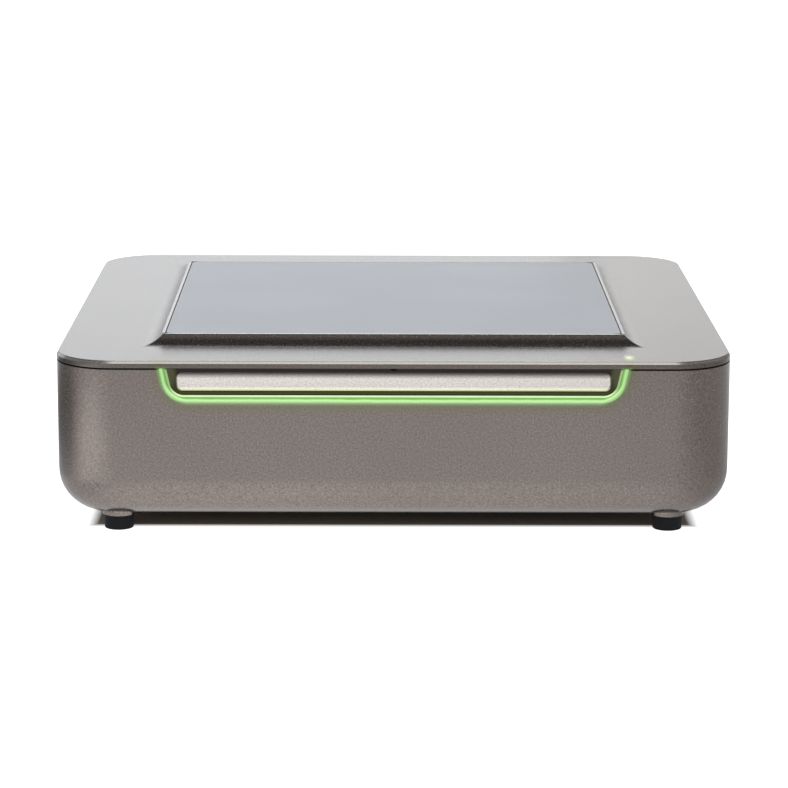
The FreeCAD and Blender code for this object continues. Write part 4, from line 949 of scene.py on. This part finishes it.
class AUDIOMETER_OT_cover(bpy.types.Operator):
    """The painted cover with its raised platform, whose skirt is a hollow curve with mitred corners"""

    bl_idname = "audiometer.cover"
    bl_label = "Cover"

    def execute(self, context):
        cover = self.plate()
        self.mark_foot(cover)
        self.raise_platform(cover)
        self.round_platform(cover)
        self.seat(cover)
        softened(cover, 0.15 * MM, angle=40.0)
        finished(cover, "housing", "cover_paint", "top_cover")
        return {"FINISHED"}

    def plate(self):
        """The flat cover with the slope round its top."""
        s = sizes()
        half_x, half_y = s.body_width / 2, s.body_depth / 2
        crease = s.cover_top - s.edge_fall
        cover = upright_block("cover_shell", half_x, half_y, s.cover_under, crease, s.corner_radius)
        shape(cover, "FACE", lambda f: lies(f, "Z", crease), raised(s.edge_fall),
              resized((half_x - s.edge_reach) / half_x, (half_y - s.edge_reach) / half_y))
        return shape(cover, "EDGE", lambda e: lies(e, "Z", s.cover_under), rounding(s.edge_softness, 2))

    def foot(self):
        """The outline of the skirt's foot: half its width, its back and its front."""
        s = sizes()
        rim_x, rim_y = platform_half()
        return rim_x + s.flare_reach, rim_y + s.flare_reach, -rim_y - s.front_reach

    def mark_foot(self, cover):
        """Divides the cover's top along the four sides of the skirt's foot."""
        side, back, front = self.foot()
        for axis, level in (("X", side), ("X", -side), ("Y", back), ("Y", front)):
            plane = Vector((axis == "X", axis == "Y", 0))
            shape(cover, "FACE", lambda f: lies(f, "Z", sizes().cover_top),
                  (bpy.ops.mesh.bisect, {"plane_co": plane * level, "plane_no": plane}))

    def raise_platform(self, cover):
        """Draws the middle face up in steps along the skirt's arc, then straight up for the lip."""
        s = sizes()
        side, back, front = self.foot()
        drop = s.platform_top - s.platform_lip - s.cover_top
        radius = (s.flare_reach ** 2 + drop ** 2) / (2 * drop)
        whole = math.asin(s.flare_reach / radius)
        steps = []
        before, height = (side, back, front), 0.0
        for step in range(1, FLARE_STEPS + 1):
            turn = whole * step / FLARE_STEPS
            inward = radius * math.sin(turn)
            rise = radius * (1 - math.cos(turn))
            after = (side - inward, back - inward, front + inward * s.front_reach / s.flare_reach)
            factor = (after[1] - after[2]) / (before[1] - before[2])
            still = (after[1] - before[1] * factor) / (1 - factor)
            steps += [raised(rise - height), resized(after[0] / before[0], factor, centre=(0.0, still, 0.0))]
            before, height = after, rise

        def is_middle(face):
            return (lies(face, "Z", s.cover_top)
                    and face.calc_center_median().to_2d().length < s.flare_reach)

        shape(cover, "FACE", is_middle, *steps, raised(s.platform_lip))

    def round_platform(self, cover):
        """Rounds the lip's corners and the slanting hips below them."""
        s = sizes()
        rim_x, rim_y = platform_half()
        lip_low = s.platform_top - s.platform_lip

        def on_hip(vert):
            """Whether a corner lies on the line where two skirts meet."""
            out_x, out_y = abs(vert.co.x) - rim_x, abs(vert.co.y) - rim_y
            reach = s.front_reach if vert.co.y < 0 else s.flare_reach
            return (min(out_x, out_y) > -NEAR and abs(out_x / s.flare_reach - out_y / reach) < 0.02
                    and s.cover_top - NEAR < vert.co.z < lip_low + NEAR)

        shape(cover, "EDGE", lambda e: runs(e, "Z") and min(v.co.z for v in e.verts) > lip_low - NEAR,
              rounding(s.lip_corner, 6))
        shape(cover, "EDGE", lambda e: rises(e) and all(on_hip(v) for v in e.verts),
              rounding(s.hip_softness, 3))

    def seat(self, cover):
        """The sunk seat of the top panel, with round corners."""
        s = sizes()
        floor = s.platform_top - s.panel_thick
        shape(cover, "FACE", lambda f: lies(f, "Z", s.platform_top),
              (bpy.ops.mesh.inset, {"thickness": s.platform_rim}), raised(-s.panel_thick))
        seat_x = s.panel_width / 2 + s.panel_gap
        shape(cover, "EDGE", lambda e: runs(e, "Z") and min(v.co.z for v in e.verts) < floor + NEAR
              and abs(e.verts[0].co.x) < seat_x + NEAR, rounding(s.panel_radius, 6))


class AUDIOMETER_OT_top_panel(bpy.types.Operator):
    """The satin sheet that fills the platform"""

    bl_idname = "audiometer.top_panel"
    bl_label = "Top panel"

    def execute(self, context):
        s = sizes()
        panel = upright_block("panel_sheet", s.panel_width / 2, s.panel_depth / 2,
                              s.platform_top - s.panel_thick, s.platform_top, s.panel_radius, steps=8)
        shape(panel, "EDGE", lambda e: lies(e, "Z", s.platform_top), rounding(0.25 * MM, 3))
        finished(panel, "housing", "panel_sheet", "top_panel")
        return {"FINISHED"}


class AUDIOMETER_OT_light_guide(bpy.types.Operator):
    """The lit band round the recess and the pale rim inside it"""

    bl_idname = "audiometer.light_guide"
    bl_label = "Light guide"

    def execute(self, context):
        s = sizes()
        low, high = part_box("light_guide")
        band = channel("light_band", s.guide_clearance, s.guide_thick, low.y, high.y, high.z)
        softened(band, 0.3 * MM, segments=3)
        finished(band, "housing", "light_guide", "light_guide")

        tray_low, tray_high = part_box("recess_bezel")
        inset = s.guide_thick + 2 * s.guide_clearance
        rim = channel("recess_rim", inset, s.rim_thick, low.y, tray_low.y, tray_high.z)
        softened(rim, 0.08 * MM)
        finished(rim, "housing", "light_guide_lip")
        return {"FINISHED"}


class AUDIOMETER_OT_push_bar(bpy.types.Operator):
    """The satin metal bar in the recess"""

    bl_idname = "audiometer.push_bar"
    bl_label = "Push bar"

    def execute(self, context):
        s = sizes()
        low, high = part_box("push_bar")
        bar = block("push_bar_face", low, high)
        shape(bar, "EDGE", lambda e: runs(e, "Y"), rounding(s.bar_corner, 6))
        shape(bar, "EDGE", lambda e: lies(e, "Y", low.y), rounding(s.bar_rounding, 4))
        finished(bar, "push_bar", "bar_metal", "push_bar")
        return {"FINISHED"}


class AUDIOMETER_OT_status_light(bpy.types.Operator):
    """The small lit lens in the cover"""

    bl_idname = "audiometer.status_light"
    bl_label = "Status light"

    def execute(self, context):
        low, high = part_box("status_lens")
        middle = (low + high) / 2
        lens = bar_round("status_dome", (high.x - low.x) / 2, middle.to_2d(), low.z, high.z, sides=32)
        shape(lens, "EDGE", lambda e: lies(e, "Z", high.z), rounding(0.45 * MM, 4))
        finished(lens, "housing", "status_lens", "status_lens")
        return {"FINISHED"}


class AUDIOMETER_OT_feet(bpy.types.Operator):
    """The four rubber feet, hollow underneath and soft at the edge"""

    bl_idname = "audiometer.feet"
    bl_label = "Feet"

    def execute(self, context):
        s = sizes()
        low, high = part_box("foot_front_left")
        middle = (low + high) / 2
        first = bar_round("foot", (high.x - low.x) / 2, middle.to_2d(), low.z, high.z)
        shape(first, "FACE", lambda f: lies(f, "Z", low.z),
              (bpy.ops.mesh.inset, {"thickness": s.foot_wall}), raised(s.foot_hollow))
        shape(first, "EDGE", lambda e: lies(e, "Z", low.z), rounding(0.45 * MM, 3))
        shape(first, "EDGE", lambda e: lies(e, "Z", high.z), rounding(0.3 * MM, 2))
        for node in ("foot_front_left", "foot_front_right", "foot_rear_left", "foot_rear_right"):
            node_low, node_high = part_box(node)
            foot = copied(first, node + "_pad", (node_low + node_high) / 2 - middle)
            finished(foot, "housing", "foot_rubber", node)
        bpy.data.objects.remove(first)
        return {"FINISHED"}


class AUDIOMETER_OT_rear_panel(bpy.types.Operator):
    """The rear plate with its openings and the two screws that hold it"""

    bl_idname = "audiometer.rear_panel"
    bl_label = "Rear panel"

    def execute(self, context):
        s = sizes()
        low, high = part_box("rear_panel")
        plate = block("rear_plate", low, high)
        shape(plate, "EDGE", lambda e: runs(e, "Y"), rounding(1.5 * MM, 5))
        span = (low.y - PAST, high.y + PAST)
        for n in range(SOCKETS):
            middle = port_middle(f"audio_socket_{n + 1}")
            cut(plate, bar_round("hole", s.socket_nose + s.plate_gap, middle, *span, axis="Y"))
        cut(plate, bar_round("hole", s.inlet_nose + s.plate_gap, port_middle("power_inlet"), *span, axis="Y"))
        for node, grow in (("usb_socket", s.plate_gap), ("switch_frame", s.plate_gap - s.flange)):
            (x, z), (half_x, half_z) = port_middle(node), port_half(node)
            cut(plate, block("hole", (x - half_x - grow, span[0], z - half_z - grow),
                             (x + half_x + grow, span[1], z + half_z + grow)))
        softened(plate, 0.2 * MM)
        finished(plate, "housing", "rear_panel", "rear_panel")
        out = high.x - 3.5 * MM
        first = screw("rear_screw_left", 2.6 * MM, 1.3 * MM, (-out, (low.z + high.z) / 2), high.y, "Y")
        second = copied(first, "rear_screw_right", (2 * out, 0, 0))
        for piece in (first, second):
            finished(piece, "housing", "screw_steel")
        return {"FINISHED"}


class AUDIOMETER_OT_audio_sockets(bpy.types.Operator):
    """The six sockets for 6.35 mm phone plugs: a square body and a stepped round mouth"""

    bl_idname = "audiometer.audio_sockets"
    bl_label = "Audio sockets"

    def execute(self, context):
        s = sizes()
        low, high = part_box("audio_socket_1")
        middle = port_middle("audio_socket_1")
        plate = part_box("rear_panel")[0].y
        first = block("socket_body", low, (high.x, plate - s.plate_gap, high.z))
        shape(first, "EDGE", lambda e: runs(e, "Y"), rounding(0.8 * MM, 3))
        nose = bar_round("nose", s.socket_nose, middle, plate - PAST, high.y, axis="Y")
        cut(first, nose, operation="UNION")
        edge, step = 1.0 * MM, 0.45 * MM
        shape(first, "FACE", lambda f: lies(f, "Y", high.y),
              (bpy.ops.mesh.inset, {"thickness": edge}), raised(-step, "Y"),
              (bpy.ops.mesh.inset, {"thickness": s.socket_nose - edge - s.socket_bore}),
              raised(step - s.socket_depth, "Y"))
        softened(first, 0.18 * MM)
        for n in range(SOCKETS):
            node = f"audio_socket_{n + 1}"
            piece = copied(first, node + "_shell", (port_middle(node)[0] - middle[0], 0, 0))
            finished(piece, "housing", "socket_black", node)
        bpy.data.objects.remove(first)
        return {"FINISHED"}


class AUDIOMETER_OT_ports(bpy.types.Operator):
    """The square data socket with its tongue and the round power inlet with its pin"""

    bl_idname = "audiometer.ports"
    bl_label = "Data and power ports"

    def execute(self, context):
        self.data_socket()
        self.inlet()
        return {"FINISHED"}

    def data_socket(self):
        s = sizes()
        low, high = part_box("usb_socket")
        plate_low, plate_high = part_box("rear_panel")
        (x, z), half = port_middle("usb_socket"), port_half("usb_socket")[1]
        shell = block("usb_shell", (low.x, low.y, z - half), high)
        shape(shell, "EDGE", lambda e: runs(e, "Y"), rounding(0.6 * MM, 3))
        mouth_x, mouth_z = 4.25 * MM, 3.9 * MM
        mouth = block("mouth", (x - mouth_x, low.y + 4.0 * MM, z - mouth_z),
                      (x + mouth_x, high.y + PAST, z + mouth_z))
        shape(mouth, "EDGE", lambda e: runs(e, "Y") and lies(e, "Z", z + mouth_z), rounding(1.9 * MM, 1))
        cut(shell, mouth)
        stand = block("stand", low, (high.x, plate_low.y - s.plate_gap, z - 4.4 * MM))
        cut(shell, stand, operation="UNION")
        softened(shell, 0.15 * MM)
        finished(shell, "housing", "tin_plate", "usb_socket")
        tip, tongue_x, tongue_z = plate_high.y - 1.0 * MM, 2.8 * MM, 1.6 * MM
        tongue = block("usb_tongue", (x - tongue_x, low.y + 3.9 * MM, z - tongue_z),
                       (x + tongue_x, tip, z + tongue_z))
        shape(tongue, "EDGE", lambda e: lies(e, "Y", tip), rounding(0.4 * MM, 2))
        finished(tongue, "housing", "relay_white")

    def inlet(self):
        s = sizes()
        low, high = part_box("power_inlet")
        plate_low, plate_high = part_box("rear_panel")
        middle = port_middle("power_inlet")
        shell = block("inlet_shell", low, (high.x, plate_low.y - s.plate_gap, high.z))
        nose = bar_round("nose", s.inlet_nose, middle, plate_low.y - PAST, high.y, axis="Y")
        cut(shell, nose, operation="UNION")
        bottom = low.y + 3.0 * MM
        shape(shell, "FACE", lambda f: lies(f, "Y", high.y),
              (bpy.ops.mesh.inset, {"thickness": s.inlet_nose - s.inlet_bore}), raised(bottom - high.y, "Y"))
        softened(shell, 0.2 * MM)
        finished(shell, "housing", "black_plastic", "power_inlet")
        tip = plate_high.y - 1.0 * MM
        pin = bar_round("inlet_pin", 1.05 * MM, middle, bottom - 0.1 * MM, tip, axis="Y", sides=24)
        shape(pin, "EDGE", lambda e: lies(e, "Y", tip), rounding(0.5 * MM, 3))
        finished(pin, "housing", "steel")


class AUDIOMETER_OT_power_switch(bpy.types.Operator):
    """The rocker switch: a flanged frame and a rocker that dips in the middle"""

    bl_idname = "audiometer.power_switch"
    bl_label = "Power switch"

    def execute(self, context):
        self.frame()
        self.rocker()
        return {"FINISHED"}

    def frame(self):
        s = sizes()
        low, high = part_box("switch_frame")
        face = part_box("rear_panel")[1].y
        flange = block("switch_surround", (low.x, face, low.z), high)
        shape(flange, "EDGE", lambda e: runs(e, "Y"), rounding(1.0 * MM, 4))
        shape(flange, "EDGE", lambda e: lies(e, "Y", high.y), rounding(0.35 * MM, 3))
        step = Vector((s.flange, 0.0, s.flange))
        barrel = block("barrel", low + step, Vector((high.x, face + 0.3 * MM, high.z)) - step)
        cut(flange, barrel, operation="UNION")
        wall, depth = 1.2 * MM, 9.0 * MM
        inner = step + Vector((wall, 0.0, wall))
        cavity = block("cavity", Vector((low.x, face - depth, low.z)) + inner,
                       Vector((high.x, high.y + PAST, high.z)) - inner)
        cut(flange, cavity)
        softened(flange, 0.15 * MM)
        finished(flange, "housing", "switch_black", "switch_frame")

    def rocker(self):
        s = sizes()
        low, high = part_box("switch_pin")
        pivot = (low + high) / 2
        half, face, root = s.rocker_half, s.rocker_face, 0.4 * MM
        root_half, root_depth = 3.4 * MM, 3.0 * MM
        wide = Vector((4.8 * MM, 0.0, half))
        cap = block("rocker_cap", pivot - wide + Vector((0, root, 0)), pivot + wide + Vector((0, face, 0)))
        shape(cap, "FACE", lambda f: lies(f, "Y", pivot.y + face),
              (bpy.ops.mesh.bisect, {"plane_co": pivot, "plane_no": (0, 0, 1)}))
        shape(cap, "EDGE", lambda e: runs(e, "X") and lies(e, "Y", pivot.y + face)
              and abs(e.verts[0].co.z - pivot.z) > NEAR,
              (bpy.ops.transform.translate, {"value": (0, half * math.tan(s.rocker_tilt), 0)}))
        shape(cap, "FACE", lambda f: lies(f, "Y", pivot.y + root),
              raised(-root_depth, "Y"), resized(z=root_half / half, centre=pivot))
        softened(cap, 0.35 * MM, segments=3, angle=25.0)
        shape(cap, "FACE", lambda f: True, (bpy.ops.transform.rotate, {
            "value": -s.rocker_tilt, "orient_axis": "X", "center_override": pivot}))
        finished(cap, "power_rocker", "switch_black", "power_rocker")


class AUDIOMETER_OT_cover_screws(bpy.types.Operator):
    """The four screws that hold the cover from below"""

    bl_idname = "audiometer.cover_screws"
    bl_label = "Cover screws"

    def execute(self, context):
        s = sizes()
        low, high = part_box("cover_screws")
        start = Vector((*FOUR_SCREWS[0], 0.0))
        first = screw("cover_screw", s.head_radius, s.head_height, FOUR_SCREWS[0], low.z + s.head_height,
                      "Z", shank=high.z)
        copies = [copied(first, "cover_screw_copy", Vector((*place, 0.0)) - start)
                  for place in FOUR_SCREWS[1:]]
        alone(first)
        for piece in copies:
            piece.select_set(True)
        bpy.ops.object.join()
        finished(first, "housing", "screw_steel", "cover_screws")
        return {"FINISHED"}


class AUDIOMETER_PT_panel(bpy.types.Panel):
    """Lists the pieces and the sizes that they share"""

    bl_idname = "AUDIOMETER_PT_panel"
    bl_label = "Audiometer"
    bl_space_type = "VIEW_3D"
    bl_region_type = "UI"
    bl_category = "Audiometer"

    def draw(self, context):
        for step in STEPS:
            self.layout.operator(step.bl_idname)
        for group in (context.scene.audiometer_sizes, context.scene.audiometer_colours):
            for name in group.__annotations__:
                self.layout.prop(group, name)


STEPS = (AUDIOMETER_OT_stage, AUDIOMETER_OT_inside, AUDIOMETER_OT_housing, AUDIOMETER_OT_cover,
         AUDIOMETER_OT_top_panel, AUDIOMETER_OT_light_guide, AUDIOMETER_OT_push_bar,
         AUDIOMETER_OT_status_light, AUDIOMETER_OT_feet, AUDIOMETER_OT_rear_panel,
         AUDIOMETER_OT_audio_sockets, AUDIOMETER_OT_ports, AUDIOMETER_OT_power_switch,
         AUDIOMETER_OT_cover_screws)
CLASSES = (AudiometerSizes, AudiometerColours, *STEPS, AUDIOMETER_PT_panel)


def register():
    for item in CLASSES:
        bpy.utils.register_class(item)
    bpy.types.Scene.audiometer_sizes = bpy.props.PointerProperty(type=AudiometerSizes)
    bpy.types.Scene.audiometer_colours = bpy.props.PointerProperty(type=AudiometerColours)


def unregister():
    del bpy.types.Scene.audiometer_colours
    del bpy.types.Scene.audiometer_sizes
    for item in reversed(CLASSES):
        bpy.utils.unregister_class(item)


def main():
    register()
    for step in STEPS:
        group, name = step.bl_idname.split(".")
        getattr(getattr(bpy.ops, group), name)()


if __name__ == "__main__":
    main()
